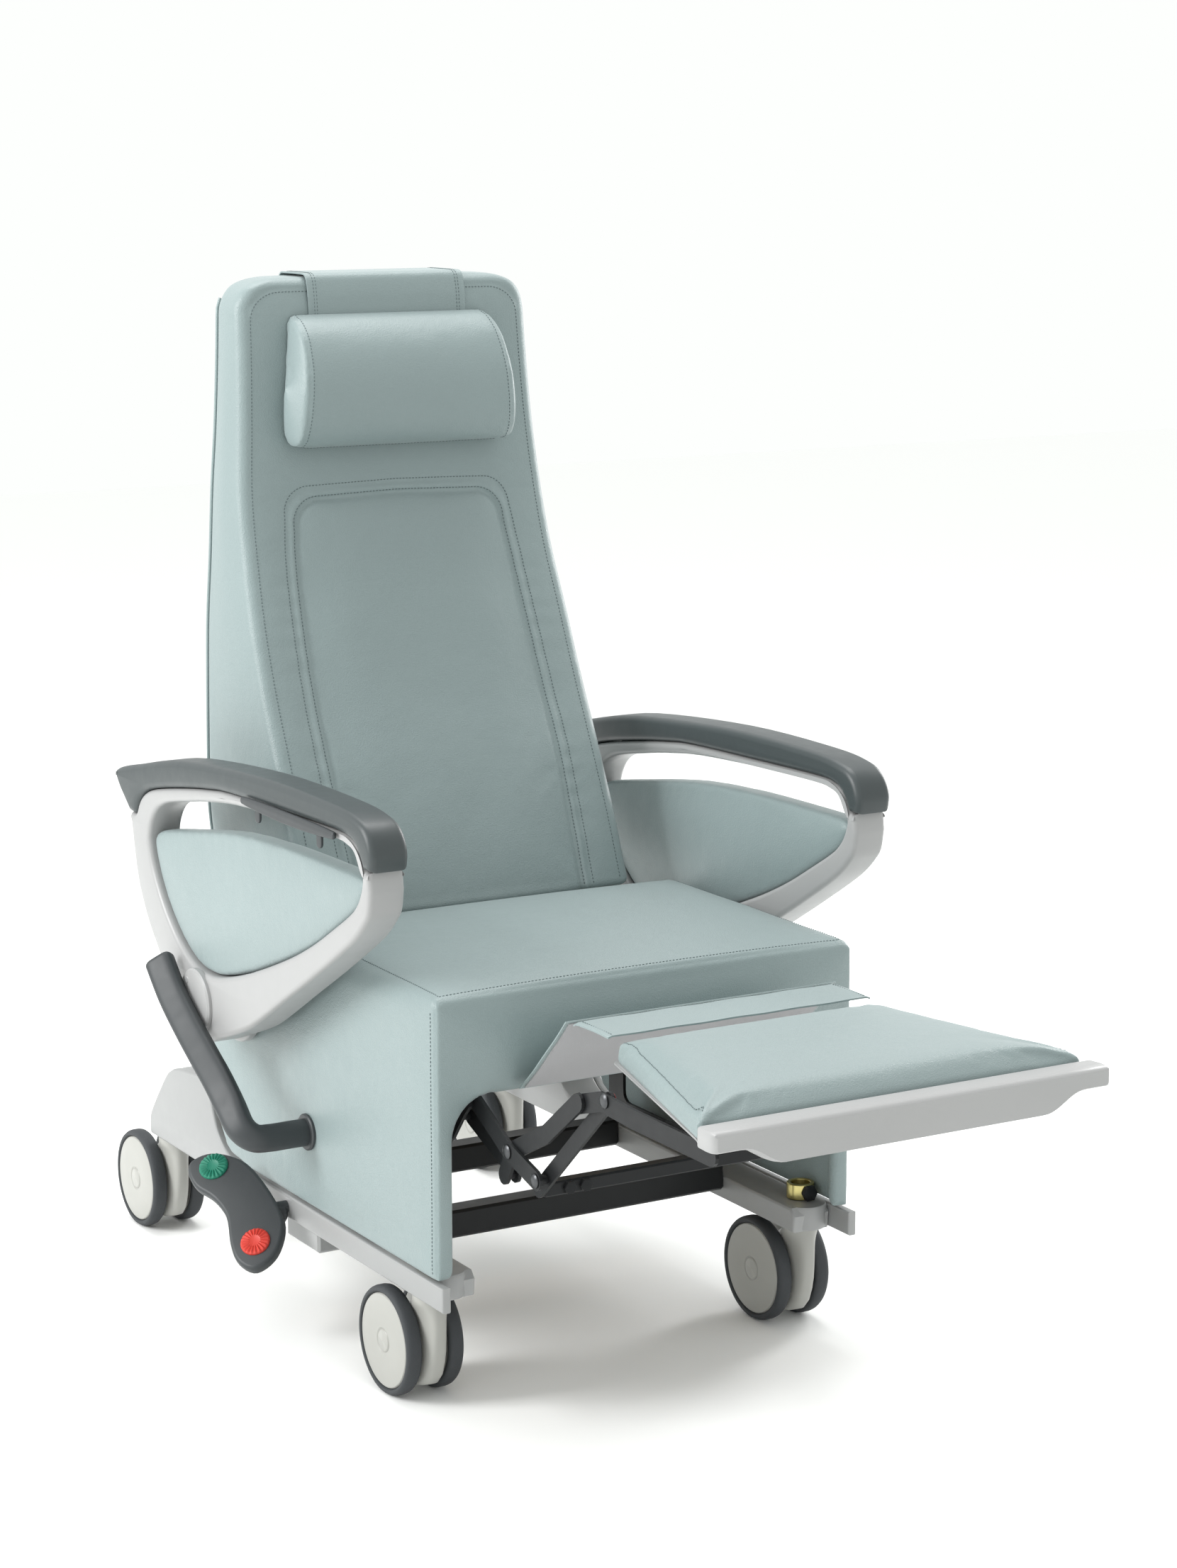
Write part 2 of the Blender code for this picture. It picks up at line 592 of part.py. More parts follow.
def build_linkage():
    """The links of each side. Two of the loop's pins stop short of the link they would hold."""
    body("lift_arms", (0.0, *LIFT_ROOT), "base")
    body("lift_stays", (0.0, *STAY_ROOT), "base")
    body("carry_links", (0.0, *LIFT_CARRY), "lift_arms")
    body("legrest", (0.0, *CARRY_REST), "carry_links")
    body("front_links", (0.0, *FRONT_REST), "legrest")
    carry_line = (STAY_CARRY, LIFT_CARRY, (-0.5340, 0.3560), CARRY_REST)
    for name, side in SIDES:
        def hole(point):
            return circle(point, PIN_HOLE, 12)

        def pin(point, inner, outer):
            return rod(point, PIN_RADIUS, *at_side((inner, outer), side), "x", 12)

        line = (LIFT_ROOT, LIFT_CARRY, LIFT_FRONT)
        mesh = plate(strip(line, 0.011), *at_side(LIFT_X, side), "x", [hole(LIFT_ROOT)])
        made = node(f"lift_arm_{name}", mesh, "lift_arms", "steel")
        combine(made, "lift_arms", "UNION", pin(LIFT_CARRY, CARRY_X[0], LIFT_X[0] + 0.001),
                pin(LIFT_FRONT, FRONT_X[1] + GAP, LIFT_X[0] + 0.001))
        line = (STAY_ROOT, STAY_CARRY)
        mesh = plate(strip(line, 0.010), *at_side(STAY_X, side), "x", [hole(STAY_ROOT)])
        node(f"lift_stay_{name}", mesh, "lift_stays", "steel")
        mesh = plate(strip(carry_line, 0.010), *at_side(CARRY_X, side), "x", [hole(LIFT_CARRY)])
        made = node(f"carry_link_{name}", mesh, "carry_links", "steel")
        combine(made, "carry_links", "UNION", pin(CARRY_REST, BRACKET_X[0], CARRY_X[0] + 0.001),
                pin(STAY_CARRY, STAY_X[1] + GAP, CARRY_X[0] + 0.001))
        mesh = plate(strip((FRONT_REST, LIFT_FRONT, CROSS_BAR), 0.009), *at_side(FRONT_X, side),
                     "x", [hole(FRONT_REST)])
        node(f"front_link_{name}", mesh, "front_links", "steel")
        line = ((-0.5960, 0.4040), (-0.6400, 0.4175), (-0.7000, 0.4150), (-0.8500, 0.4150))
        mesh = plate(strip(line, 0.0105), *at_side(BRACKET_X, side), "x", [hole(CARRY_REST)])
        made = node(f"legrest_bracket_{name}", mesh, "legrest", "steel")
        combine(made, "legrest", "UNION", pin(FRONT_REST, FRONT_X[0], BRACKET_X[0] + 0.001))
    reach = FRONT_X[0] - GAP
    low = (-reach, CROSS_BAR[0] - 0.008, CROSS_BAR[1] - 0.008)
    high = (reach, CROSS_BAR[0] + 0.008, CROSS_BAR[1] + 0.008)
    node("link_cross_bar", box(low, high), "front_links", "steel", 0.002)


def rest_half(y):
    """Half the width of the legrest, which widens towards the feet."""
    return 0.163 + (REST_REAR - y) * (0.2387 - 0.163) / (REST_REAR - REST_FRONT)


def build_legrest():
    rings = []
    for y, floor, shrink in ((REST_REAR, 0.442, 0.0), (REST_FRONT, 0.442, 0.0),
                             (REST_FRONT - 0.001, 0.456, 0.0), (-0.898, 0.456, 0.004),
                             (-0.907, 0.450, 0.020)):
        half = min(rest_half(y), 0.2387) - shrink
        belly = 0.150 + (half - 0.163) * 0.2
        side = [(belly - 0.010, 0.4140), (belly + 0.006, 0.4200), (half - 0.006, 0.4345),
                (half, 0.4375), (half, 0.4560), (half - 0.004, 0.4560), (half - 0.0045, floor)]
        ring = side + [(-x, z) for x, z in side[::-1]]
        rings.append([(x, y, z) for x, z in ring])
    node("legrest_tray", loft(rings), "legrest", "shell")
    rings = []
    for y, rise in ((REST_REAR, 0.0), (-0.600, 0.003), (-0.730, 0.005), (-0.860, 0.003),
                    (REST_FRONT + GAP, -0.004)):
        half = rest_half(y) - 0.0052
        side = [(half, 0.4425), (half, 0.461), (half - 0.006, 0.466 + min(rise, 0.001)),
                (half * 0.5, REST_TOP - 0.001 + rise)]
        ring = side + [(-x, z) for x, z in side[::-1]]
        rings.append([(x, y, z) for x, z in ring])
    node("legrest_pad", loft(rings), "legrest", "vinyl")
    hinge = (REST_REAR + 0.0006, REST_TOP - 0.0045)
    body("flap_front", (0.0, *hinge), "legrest")
    low = (-FLAP_HALF + 0.008, hinge[0], hinge[1])
    high = (FLAP_HALF - 0.008, FLAP_FOLD[0] - 0.0004, hinge[1] + 0.004)
    node("gap_flap_front", box(low, high), "flap_front", "vinyl")
    body("flap_rear", (0.0, *FLAP_ROOT), "base")
    line = (FLAP_ROOT, (FLAP_FOLD[0] + 0.0035, FLAP_FOLD[1] - 0.0035))
    mesh = plate(strip(line, 0.002, 3), -FLAP_HALF, FLAP_HALF)
    node("gap_flap_rear", mesh, "flap_rear", "vinyl")


clear_scene()
CHAIR = new_collection("patient_recliner_chair")
TOOLS = new_collection("boolean_tools")
MATERIALS = {name: new_material(name, *look) for name, look in FINISHES.items()}
PIVOTS = {}
body("chair")
build_frame()
build_casters()
build_seat()
build_back()
build_arms()
build_lever()
build_pedal()
build_linkage()
build_legrest()
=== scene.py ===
"""Looks of the patient recliner chair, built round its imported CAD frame.

Shapes are drawn in the chair's own coordinates (x = 0 is its plane of symmetry, -Y is the
feet end, metres) and moved by OFFSET into the row frame.
"""

import math

import bmesh
import bpy
import numpy as np
from mathutils import Matrix, Vector
from mathutils.bvhtree import BVHTree


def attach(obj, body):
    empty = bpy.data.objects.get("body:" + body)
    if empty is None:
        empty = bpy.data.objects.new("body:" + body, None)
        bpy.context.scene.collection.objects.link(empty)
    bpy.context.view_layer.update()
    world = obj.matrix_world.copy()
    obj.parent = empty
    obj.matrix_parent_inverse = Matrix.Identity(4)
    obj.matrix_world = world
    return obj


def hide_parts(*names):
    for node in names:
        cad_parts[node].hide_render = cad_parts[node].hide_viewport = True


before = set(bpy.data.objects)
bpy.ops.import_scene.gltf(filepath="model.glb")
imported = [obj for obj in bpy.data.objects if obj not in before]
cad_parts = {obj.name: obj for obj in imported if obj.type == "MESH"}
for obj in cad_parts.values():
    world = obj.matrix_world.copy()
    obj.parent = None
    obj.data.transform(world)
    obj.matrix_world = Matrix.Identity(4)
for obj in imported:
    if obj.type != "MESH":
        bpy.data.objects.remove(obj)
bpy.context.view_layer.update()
OFFSET = Vector((0.012, 0.217, 0.0))
PRESSURE = 4.0  # of the cloth simulation that fills every cushion
PIVOT = (0.082, 0.378)  # (y, z) of both arms' pivot
SIDES = (("left", -1.0), ("right", 1.0))
AXES_X = Matrix(((0, 0, 1, 0), (1, 0, 0, 0), (0, 1, 0, 0), (0, 0, 0, 1)))
AXES_Y = Matrix(((1, 0, 0, 0), (0, 0, -1, 0), (0, 1, 0, 0), (0, 0, 0, 1)))


# ---------------------------------------------------------------- materials

def shader(name, colour, rough, metallic=0.0, grain=(), mottle=0.04, wear=0.0, **sockets):
    """A Principled material with layered bump grain, colour mottling and worn edges."""
    made = bpy.data.materials.new(name)
    made.use_nodes = True
    nodes, links = made.node_tree.nodes, made.node_tree.links
    out = nodes["Principled BSDF"]
    out.inputs["Metallic"].default_value = metallic
    for socket, value in sockets.items():
        out.inputs[socket.replace("_", " ")].default_value = value
    where = nodes.new("ShaderNodeTexCoord")
    cloud = nodes.new("ShaderNodeTexNoise")
    cloud.inputs["Scale"].default_value = 7.0
    cloud.inputs["Detail"].default_value = 5.0
    links.new(where.outputs["Object"], cloud.inputs["Vector"])
    shade = nodes.new("ShaderNodeMix")
    shade.data_type = "RGBA"
    shade.inputs[6].default_value = [v * (1 - mottle) for v in colour] + [1.0]
    shade.inputs[7].default_value = [min(1.0, v * (1 + mottle)) for v in colour] + [1.0]
    links.new(cloud.outputs["Fac"], shade.inputs["Factor"])
    tint = shade.outputs[2]
    if wear:
        round_edge = nodes.new("ShaderNodeNewGeometry")
        ramp = nodes.new("ShaderNodeMapRange")
        ramp.inputs["From Min"].default_value = 0.505
        ramp.inputs["From Max"].default_value = 0.60
        ramp.inputs["To Max"].default_value = wear
        links.new(round_edge.outputs["Pointiness"], ramp.inputs["Value"])
        rub = nodes.new("ShaderNodeMix")
        rub.data_type = "RGBA"
        rub.inputs[7].default_value = [min(1.0, v * 1.25 + 0.03) for v in colour] + [1.0]
        links.new(ramp.outputs["Result"], rub.inputs["Factor"])
        links.new(tint, rub.inputs[6])
        tint = rub.outputs[2]
    links.new(tint, out.inputs["Base Color"])
    fine = nodes.new("ShaderNodeTexNoise")
    fine.inputs["Scale"].default_value = 60.0
    fine.inputs["Detail"].default_value = 6.0
    links.new(where.outputs["Object"], fine.inputs["Vector"])
    spread = nodes.new("ShaderNodeMapRange")
    spread.inputs["To Min"].default_value = max(0.05, rough - 0.07)
    spread.inputs["To Max"].default_value = min(1.0, rough + 0.07)
    links.new(fine.outputs["Fac"], spread.inputs["Value"])
    links.new(spread.outputs["Result"], out.inputs["Roughness"])
    last = None
    for kind, scale, height in grain:
        node = nodes.new("ShaderNodeTexVoronoi" if kind == "cell" else "ShaderNodeTexNoise")
        node.inputs["Scale"].default_value = scale
        links.new(where.outputs["Object"], node.inputs["Vector"])
        bump = nodes.new("ShaderNodeBump")
        bump.inputs["Strength"].default_value = 1.0
        bump.inputs["Distance"].default_value = height
        value = node.outputs["Distance"] if kind == "cell" else node.outputs["Fac"]
        links.new(value, bump.inputs["Height"])
        if last:
            links.new(last.outputs["Normal"], bump.inputs["Normal"])
        last = bump
    if last:
        links.new(last.outputs["Normal"], out.inputs["Normal"])
    return made


LEATHER = (("cell", 720.0, 0.00022), ("cloud", 330.0, 0.00020), ("cloud", 26.0, 0.0012))
MOULD = (("cloud", 900.0, 0.00006), ("cloud", 40.0, 0.0002))
LOOK = {
    "vinyl": shader("vinyl", (0.222, 0.279, 0.281), 0.42, grain=LEATHER, mottle=0.035, wear=0.35,
                    Sheen_Weight=0.12, Specular_IOR_Level=0.45),
    "lining": shader("flap lining", (0.36, 0.36, 0.37), 0.6, grain=(("cloud", 700.0, 0.0002),)),
    "thread": shader("thread", (0.10, 0.135, 0.138), 0.7, grain=(("cloud", 2500.0, 0.0002),)),
    "paint": shader("frame paint", (0.280, 0.285, 0.285), 0.38, grain=MOULD, wear=0.3),
    "shell": shader("moulded shell", (0.330, 0.332, 0.332), 0.36, grain=MOULD, wear=0.3),
    "cream": shader("caster shell", (0.345, 0.345, 0.322), 0.40, grain=MOULD, wear=0.3),
    "cap": shader("soft cap", (0.040, 0.050, 0.052), 0.42, grain=MOULD, mottle=0.08, wear=0.4),
    "dark": shader("dark mould", (0.027, 0.032, 0.035), 0.48, grain=MOULD, mottle=0.08, wear=0.4),
    "tyre": shader("tyre", (0.030, 0.034, 0.038), 0.7, grain=(("cloud", 500.0, 0.0003),),
                   mottle=0.12, wear=0.3),
    "steel": shader("black steel", (0.009, 0.010, 0.011), 0.42, grain=MOULD, mottle=0.15,
                    wear=0.2, Specular_IOR_Level=0.18),
    "bare": shader("rivet steel", (0.085, 0.088, 0.092), 0.36, 1.0, grain=MOULD, mottle=0.1),
    "zinc": shader("yellow zinc", (0.55, 0.48, 0.20), 0.30, 1.0, grain=MOULD, mottle=0.2),
    "board": shader("plywood", (0.42, 0.30, 0.18), 0.7, grain=(("cloud", 120.0, 0.0004),)),
    "green": shader("green pad", (0.004, 0.17, 0.105), 0.42, grain=MOULD, wear=0.3),
    "red": shader("red pad", (0.55, 0.035, 0.02), 0.42, grain=MOULD, wear=0.3),
    "washer": shader("red washer", (0.30, 0.015, 0.015), 0.5, grain=MOULD),
}


# ------------------------------------------------------------------ helpers

def bend(points, per=6, closed=False):
    """A smooth line through the points."""
    p = [np.array(q, float) for q in points]
    n = len(p)
    made = []
    for i in range(n if closed else n - 1):
        if closed:
            a, b, c, d = p[i - 1], p[i], p[(i + 1) % n], p[(i + 2) % n]
        else:
            a, b, c, d = p[max(i - 1, 0)], p[i], p[i + 1], p[min(i + 2, n - 1)]
        for k in range(per):
            t = k / per
            made.append(0.5 * (2 * b + (c - a) * t + (2 * a - 5 * b + 4 * c - d) * t * t
                               + (3 * b - 3 * c + d - a) * t ** 3))
    if not closed:
        made.append(p[-1])
    return [tuple(q) for q in made]


def placed(name, data):
    """A new object in the scene."""
    made = bpy.data.objects.new(name, data)
    bpy.context.scene.collection.objects.link(made)
    return made


def piece(name, mesh, body, look, replaces=(), smooth=40.0):
    """A finished mesh becomes a named piece that rides on a CAD body."""
    mesh.name = name
    mesh.transform(Matrix.Translation(OFFSET))
    mesh.materials.clear()
    mesh.materials.append(LOOK[look])
    made = placed(name, mesh)
    for face in mesh.polygons:
        face.use_smooth = True
    if smooth:
        mesh.set_sharp_from_angle(angle=math.radians(smooth))
    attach(made, body)
    if replaces:
        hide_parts(*replaces)
    return made


def evaluated(mesh, *changes):
    """The mesh after modifiers, each given as its type and its settings."""
    made = placed("worked", mesh)
    for kind, settings in changes:
        change = made.modifiers.new(kind, kind)
        for name, value in settings.items():
            setattr(change, name, value)
    return settled(made)


def settled(made):
    """Takes the object's final mesh and removes the object."""
    graph = bpy.context.evaluated_depsgraph_get()
    done = bpy.data.meshes.new_from_object(made.evaluated_get(graph))
    bpy.data.objects.remove(made, do_unlink=True)
    return done


def closed_mesh(bm):
    """The finished mesh of a bmesh, with its faces turned outwards."""
    bmesh.ops.remove_doubles(bm, verts=bm.verts, dist=1e-6)
    bmesh.ops.recalc_face_normals(bm, faces=bm.faces)
    mesh = bpy.data.meshes.new("made")
    bm.to_mesh(mesh)
    bm.free()
    return mesh


def loft(rings):
    """A closed skin of quads between rings of points, each ring with the same count."""
    bm = bmesh.new()
    rows = [[bm.verts.new(point) for point in ring] for ring in rings]
    count = len(rows[0])
    for low, high in zip(rows, rows[1:]):
        for i in range(count):
            j = (i + 1) % count
            bm.faces.new((low[i], low[j], high[j], high[i]))
    bm.faces.new(rows[0])
    bm.faces.new(rows[-1])
    return closed_mesh(bm)


def join(*meshes):
    """Several closed meshes in one."""
    bm = bmesh.new()
    for mesh in meshes:
        bm.from_mesh(mesh)
    made = bpy.data.meshes.new("joined")
    bm.to_mesh(made)
    bm.free()
    return made


def drawn(curve, paths, closed):
    """The mesh of a curve object that runs through the paths."""
    for path in paths:
        spline = curve.splines.new("POLY")
        spline.points.add(len(path) - 1)
        for point, where in zip(spline.points, path):
            point.co = (*where, 1.0)
        spline.use_cyclic_u = closed
    made = bpy.data.objects.new("drawn", curve)
    mesh = bpy.data.meshes.new_from_object(made)
    bpy.data.objects.remove(made, do_unlink=True)
    return mesh


def plate(outline, half, edge, holes=(), matrix=Matrix.Identity(4)):
    """A flat outline with rounded rims, extruded half each way along its own z."""
    curve = bpy.data.curves.new("outline", "CURVE")
    curve.dimensions = "2D"
    curve.fill_mode = "BOTH"
    curve.extrude = max(half - edge, 0.0)
    curve.bevel_depth = edge
    curve.bevel_resolution = 4
    curve.offset = -edge
    paths = [[(u, v, 0.0) for u, v in points] for points in (outline, *holes)]
    bm = bmesh.new()
    bm.from_mesh(drawn(curve, paths, True))
    bm.transform(matrix)
    return closed_mesh(bm)


def side_plate(outline, low, high, edge, holes=()):
    """A plate whose (y, z) outline stands between two values of x."""
    low, high = sorted((low, high))
    move = Matrix.Translation(((low + high) / 2, 0, 0))
    return plate(outline, (high - low) / 2, edge, holes, move @ AXES_X)


def circle(centre, radius, steps=48):
    """A round outline."""
    turns = [2 * math.pi * i / steps for i in range(steps)]
    return [(centre[0] + radius * math.cos(a), centre[1] + radius * math.sin(a)) for a in turns]


def lathe(profile, matrix, steps=72):
    """A body turned about its own z; the profile runs (radius, z)."""
    return loft([[matrix @ Vector((u, v, z)) for u, v in circle((0, 0), max(radius, 1e-5), steps)]
                 for radius, z in profile])


def squared(turn, power):
    """A point of a unit circle that is squarer the higher the power."""
    return [math.copysign(abs(v) ** (2 / power), v) for v in (math.cos(turn), math.sin(turn))]


def rounded(corners, radius):
    """An outline with a round at each corner, whose centre and first angle in turns are given."""
    return [(x + radius * math.cos(math.pi * (start + k / 12)),
             y + radius * math.sin(math.pi * (start + k / 12)))
            for x, y, start in corners for k in range(7)]


def outwards(sign, spot):
    """Places a body so that its own z points to one side of the chair."""
    return Matrix.Translation(spot) @ Matrix.Rotation(sign * math.pi / 2, 4, "Y")


def pin(x_low, x_high, y, z, radius, edge=0.0008, steps=32):
    """A round piece along X with softened rims."""
    x_low, x_high = sorted((x_low, x_high))
    return lathe(((0, x_low), (radius - edge, x_low), (radius, x_low + edge),
                  (radius, x_high - edge), (radius - edge, x_high), (0, x_high)),
                 outwards(1, (0, y, z)), steps)


def strip(line, widths, steps=10):
    """The outline of a bar along a line, with round ends and its own half width at each point."""
    points = [Vector(point) for point in line]
    left, right = [], []
    for i, point in enumerate(points):
        way = (points[min(i + 1, len(points) - 1)] - points[max(i - 1, 0)]).normalized()
        normal = Vector((-way.y, way.x)) * widths[i]
        left.append(point + normal)
        right.append(point - normal)
    first = (points[1] - points[0]).normalized()
    last = (points[-1] - points[-2]).normalized()

    def cap(centre, way, half):
        made = []
        for k in range(1, steps):
            turn = math.pi * k / steps
            across = Vector((-way.y, way.x)) * math.cos(turn)
            made.append(centre + half * (across + way * math.sin(turn)))
        return made

    outline = left + cap(points[-1], last, widths[-1]) + right[::-1]
    outline += cap(points[0], -first, widths[0])
    return [tuple(point) for point in outline]


def walk(path, step):
    """Points a fixed distance apart along a line in space."""
    path = np.array(path, float)
    lengths = np.concatenate([[0], np.cumsum(np.linalg.norm(np.diff(path, axis=0), axis=1))])
    marks = np.arange(0, lengths[-1], step)
    return np.stack([np.interp(marks, lengths, path[:, k]) for k in range(3)], axis=1)


def stitching(name, paths, body, step=0.0044, radius=0.00055):
    """Rows of short thread stitches, each a six-sided bead with pinched ends."""
    bm = bmesh.new()
    for path in paths:
        marks = walk(path, step)
        for a, b in zip(marks, marks[1:]):
            a, b = Vector(a), Vector(b)
            way = b - a
            if way.length < step * 0.5:
                continue
            side = way.orthogonal().normalized()
            up = way.cross(side).normalized()
            rings = []
            for share, size in ((0.12, 0.35), (0.25, 1.0), (0.60, 1.0), (0.74, 0.35)):
                rings.append([bm.verts.new(a + way * share + radius * size * (
                    side * math.cos(t) + up * math.sin(t)))
                    for t in [math.pi * k / 3 for k in range(6)]])
            for low, high in zip(rings, rings[1:]):
                for i in range(6):
                    bm.faces.new((low[i], low[(i + 1) % 6], high[(i + 1) % 6], high[i]))
            bm.faces.new(rings[0][::-1])
            bm.faces.new(rings[-1])
    mesh = bpy.data.meshes.new(name)
    bm.to_mesh(mesh)
    bm.free()
    return piece(name, mesh, body, "thread", smooth=0)


def tube(name, path, radius, body, look):
    """A thin round piping along a line in space."""
    curve = bpy.data.curves.new(name, "CURVE")
    curve.dimensions = "3D"
    curve.bevel_depth = radius
    curve.bevel_resolution = 4
    curve.use_fill_caps = True
    return piece(name, drawn(curve, [path], False), body, look)


def line_distance(points, path):
    """How far each 2-D point is from a line."""
    a, b = np.array(path[:-1], float), np.array(path[1:], float)
    best = np.full(len(points), 1e9)
    for p, q in zip(a, b):
        way = q - p
        t = np.clip(((points - p) @ way) / max(way @ way, 1e-12), 0, 1)
        best = np.minimum(best, np.linalg.norm(points - (p + t[:, None] * way), axis=1))
    return best


def edge_distance(points, outline):
    """How far each 2-D point is from a closed outline."""
    return line_distance(points, [*outline, outline[0]])


def points_of(mesh):
    """The places and normals of a mesh's vertices."""
    co = np.zeros(len(mesh.vertices) * 3)
    no = np.zeros(len(mesh.vertices) * 3)
    mesh.vertices.foreach_get("co", co)
    mesh.vertex_normals.foreach_get("vector", no)
    return co.reshape(-1, 3), no.reshape(-1, 3)


def moved_to(mesh, co):
    """The same mesh with its vertices at new places."""
    mesh.vertices.foreach_set("co", co.reshape(-1))
    mesh.update()
    return mesh


def remesh(mesh, voxel, smooth=4):
    """The same closed form as an even skin of small faces."""
    return evaluated(mesh, ("REMESH", {"mode": "VOXEL", "voxel_size": voxel}),
                     ("SMOOTH", {"iterations": smooth}))


def puff(mesh, outline, height, reach, crease):
    """Fills a side panel out along x: proud in the middle, drawn in at its sewn edge."""
    co, no = points_of(mesh)
    d = edge_distance(co[:, (1, 2)], outline)
    fill = height * (1 - np.exp(-d / reach))
    y, z = co[:, 1], co[:, 2]
    pull = crease * np.exp(-d / (reach * 0.8)) * np.sin(
        y * 210 + z * 150 + 1.0 + 2.5 * np.sin(y * 37 + 1.0))
    co[:, 0] += np.clip(no[:, 0] * 3, -1, 1) * (fill + pull)
    return moved_to(mesh, co)


def swell(mesh, hold, most, frames=20):
    """Cloth pressure fills a closed skin; held points stay, and each point has its own cap."""
    made = placed("soft", mesh)
    group = made.vertex_groups.new(name="held")
    group.add([int(i) for i in np.nonzero(hold)[0]], 1.0, "REPLACE")
    cloth = made.modifiers.new("Cloth", "CLOTH")
    cloth.settings.vertex_group_mass = "held"
    cloth.settings.use_pressure = True
    cloth.settings.uniform_pressure_force = PRESSURE
    cloth.settings.quality = 4
    cloth.settings.bending_stiffness = 1.5
    cloth.settings.effector_weights.gravity = 0.0
    cloth.point_cache.frame_start = 1
    cloth.point_cache.frame_end = frames
    rest, _ = points_of(mesh)
    scene = bpy.context.scene
    for number in range(1, frames + 1):
        scene.frame_set(number)
    done = settled(made)
    scene.frame_set(1)
    moved, _ = points_of(done)
    shift = moved - rest
    far = np.linalg.norm(shift, axis=1)
    most = np.broadcast_to(most, far.shape)
    shift *= (most * np.tanh(far / most) / np.maximum(far, 1e-9))[:, None]
    return moved_to(done, rest + shift)


def near(points, path):
    """The distance of every point to the closest of a line's closely spaced points."""
    marks = walk(path, 0.003)
    best = np.full(len(points), 1e9)
    for mark in marks:
        best = np.minimum(best, ((points - mark) ** 2).sum(axis=1))
    return np.sqrt(best)


def groove(mesh, path, depth, width):
    """Draws the skin in along a seam."""
    co, no = points_of(mesh)
    d = near(co, path)
    return moved_to(mesh, co - no * (depth * np.exp(-(d / width) ** 2))[:, None])


def on_skin(mesh, path, lift=0.0002):
    """The line laid on the surface of a mesh."""
    tree = BVHTree.FromPolygons([v.co for v in mesh.vertices],
                                [tuple(f.vertices) for f in mesh.polygons])
    made = []
    for point in walk(path, 0.004):
        spot, normal, _, _ = tree.find_nearest(Vector(point))
        made.append(tuple(spot + normal * lift))
    return made


def finer(mesh):
    """One subdivision of a simulated skin, with its flat ends closed again after it."""
    bm = bmesh.new()
    bm.from_mesh(mesh)
    wide = [face for face in bm.faces if len(face.verts) > 8]
    bmesh.ops.delete(bm, geom=wide, context="FACES_ONLY")
    bm.to_mesh(mesh)
    bm.free()
    done = evaluated(mesh, ("SUBSURF", {"levels": 1, "render_levels": 1}))
    if wide:
        bm = bmesh.new()
        bm.from_mesh(done)
        rims = [edge for edge in bm.edges if edge.is_boundary]
        bmesh.ops.edgenet_fill(bm, edges=rims)
        bmesh.ops.recalc_face_normals(bm, faces=bm.faces)
        bm.to_mesh(done)
        bm.free()
    return done


# ----------------------------------------------------------------- backrest

BACK_FACE = bend((
    (0.455, 0.223, 0.004), (0.470, 0.223, 0.010), (0.560, 0.223, 0.048), (0.640, 0.222, 0.084),
    (0.720, 0.221, 0.124), (0.800, 0.219, 0.158), (0.880, 0.214, 0.188),
    (0.960, 0.210, 0.209), (1.040, 0.204, 0.219), (1.120, 0.200, 0.226),
    (1.180, 0.198, 0.231), (1.220, 0.196, 0.235),
), 8)
BACK_Z = [row[0] for row in BACK_FACE]
BACK_HALF = [row[1] for row in BACK_FACE]
BACK_Y = [row[2] for row in BACK_FACE]
BACK_TOP, BACK_LOW, BACK_REAR, BACK_CORNER = 1.2155, 0.470, 0.302, 0.042
INSET = bend(((0.455, 0.150), (0.620, 0.155), (0.700, 0.154), (0.780, 0.151), (0.860, 0.146),
              (0.905, 0.1415), (0.950, 0.135)), 6)


def back_half(z):
    """The back's half width at a height."""
    return np.interp(z, BACK_Z, BACK_HALF)


def inset_path(grow):
    """Half of the sewn panel's outline on the front, from the seat up and over to the middle."""
    corner, top = 0.034, 0.950 + grow
    path = []
    for z, half in INSET:
        if z < top - corner:
            path.append((half + grow, z))
    half = path[-1][0]
    for k in range(1, 13):
        turn = math.pi / 2 * k / 12
        path.append((half - corner * (1 - math.cos(turn)),
                     top - corner + corner * math.sin(turn)))
    path += [(half - corner - s * (half - corner), top + 0.003 * s) for s in (0.33, 0.66, 1.0)]
    return path


def whole(path):
    """A half outline and its mirror image as one line."""
    return path + [(-x, z) for x, z in path[-2::-1]]


INNER_SEAM, OUTER_SEAM = whole(inset_path(0.0)), whole(inset_path(0.013))


def edge_line(inset):
    """Half of the seam that follows the front's own edge, inset from it."""
    corner = 0.040
    path = [(float(back_half(z)) - inset, z) for z in np.linspace(BACK_LOW, 1.165, 40)]
    half, low = path[-1][0], path[-1][1]
    rise = BACK_TOP - inset - low
    for k in range(1, 13):
        turn = math.pi / 2 * k / 12
        path.append((half - corner * (1 - math.cos(turn)), low + rise * math.sin(turn)))
    path += [(half - corner - s * (half - corner), low + rise) for s in (0.5, 1.0)]
    return path


EDGE_SEAM = whole(edge_line(0.013))


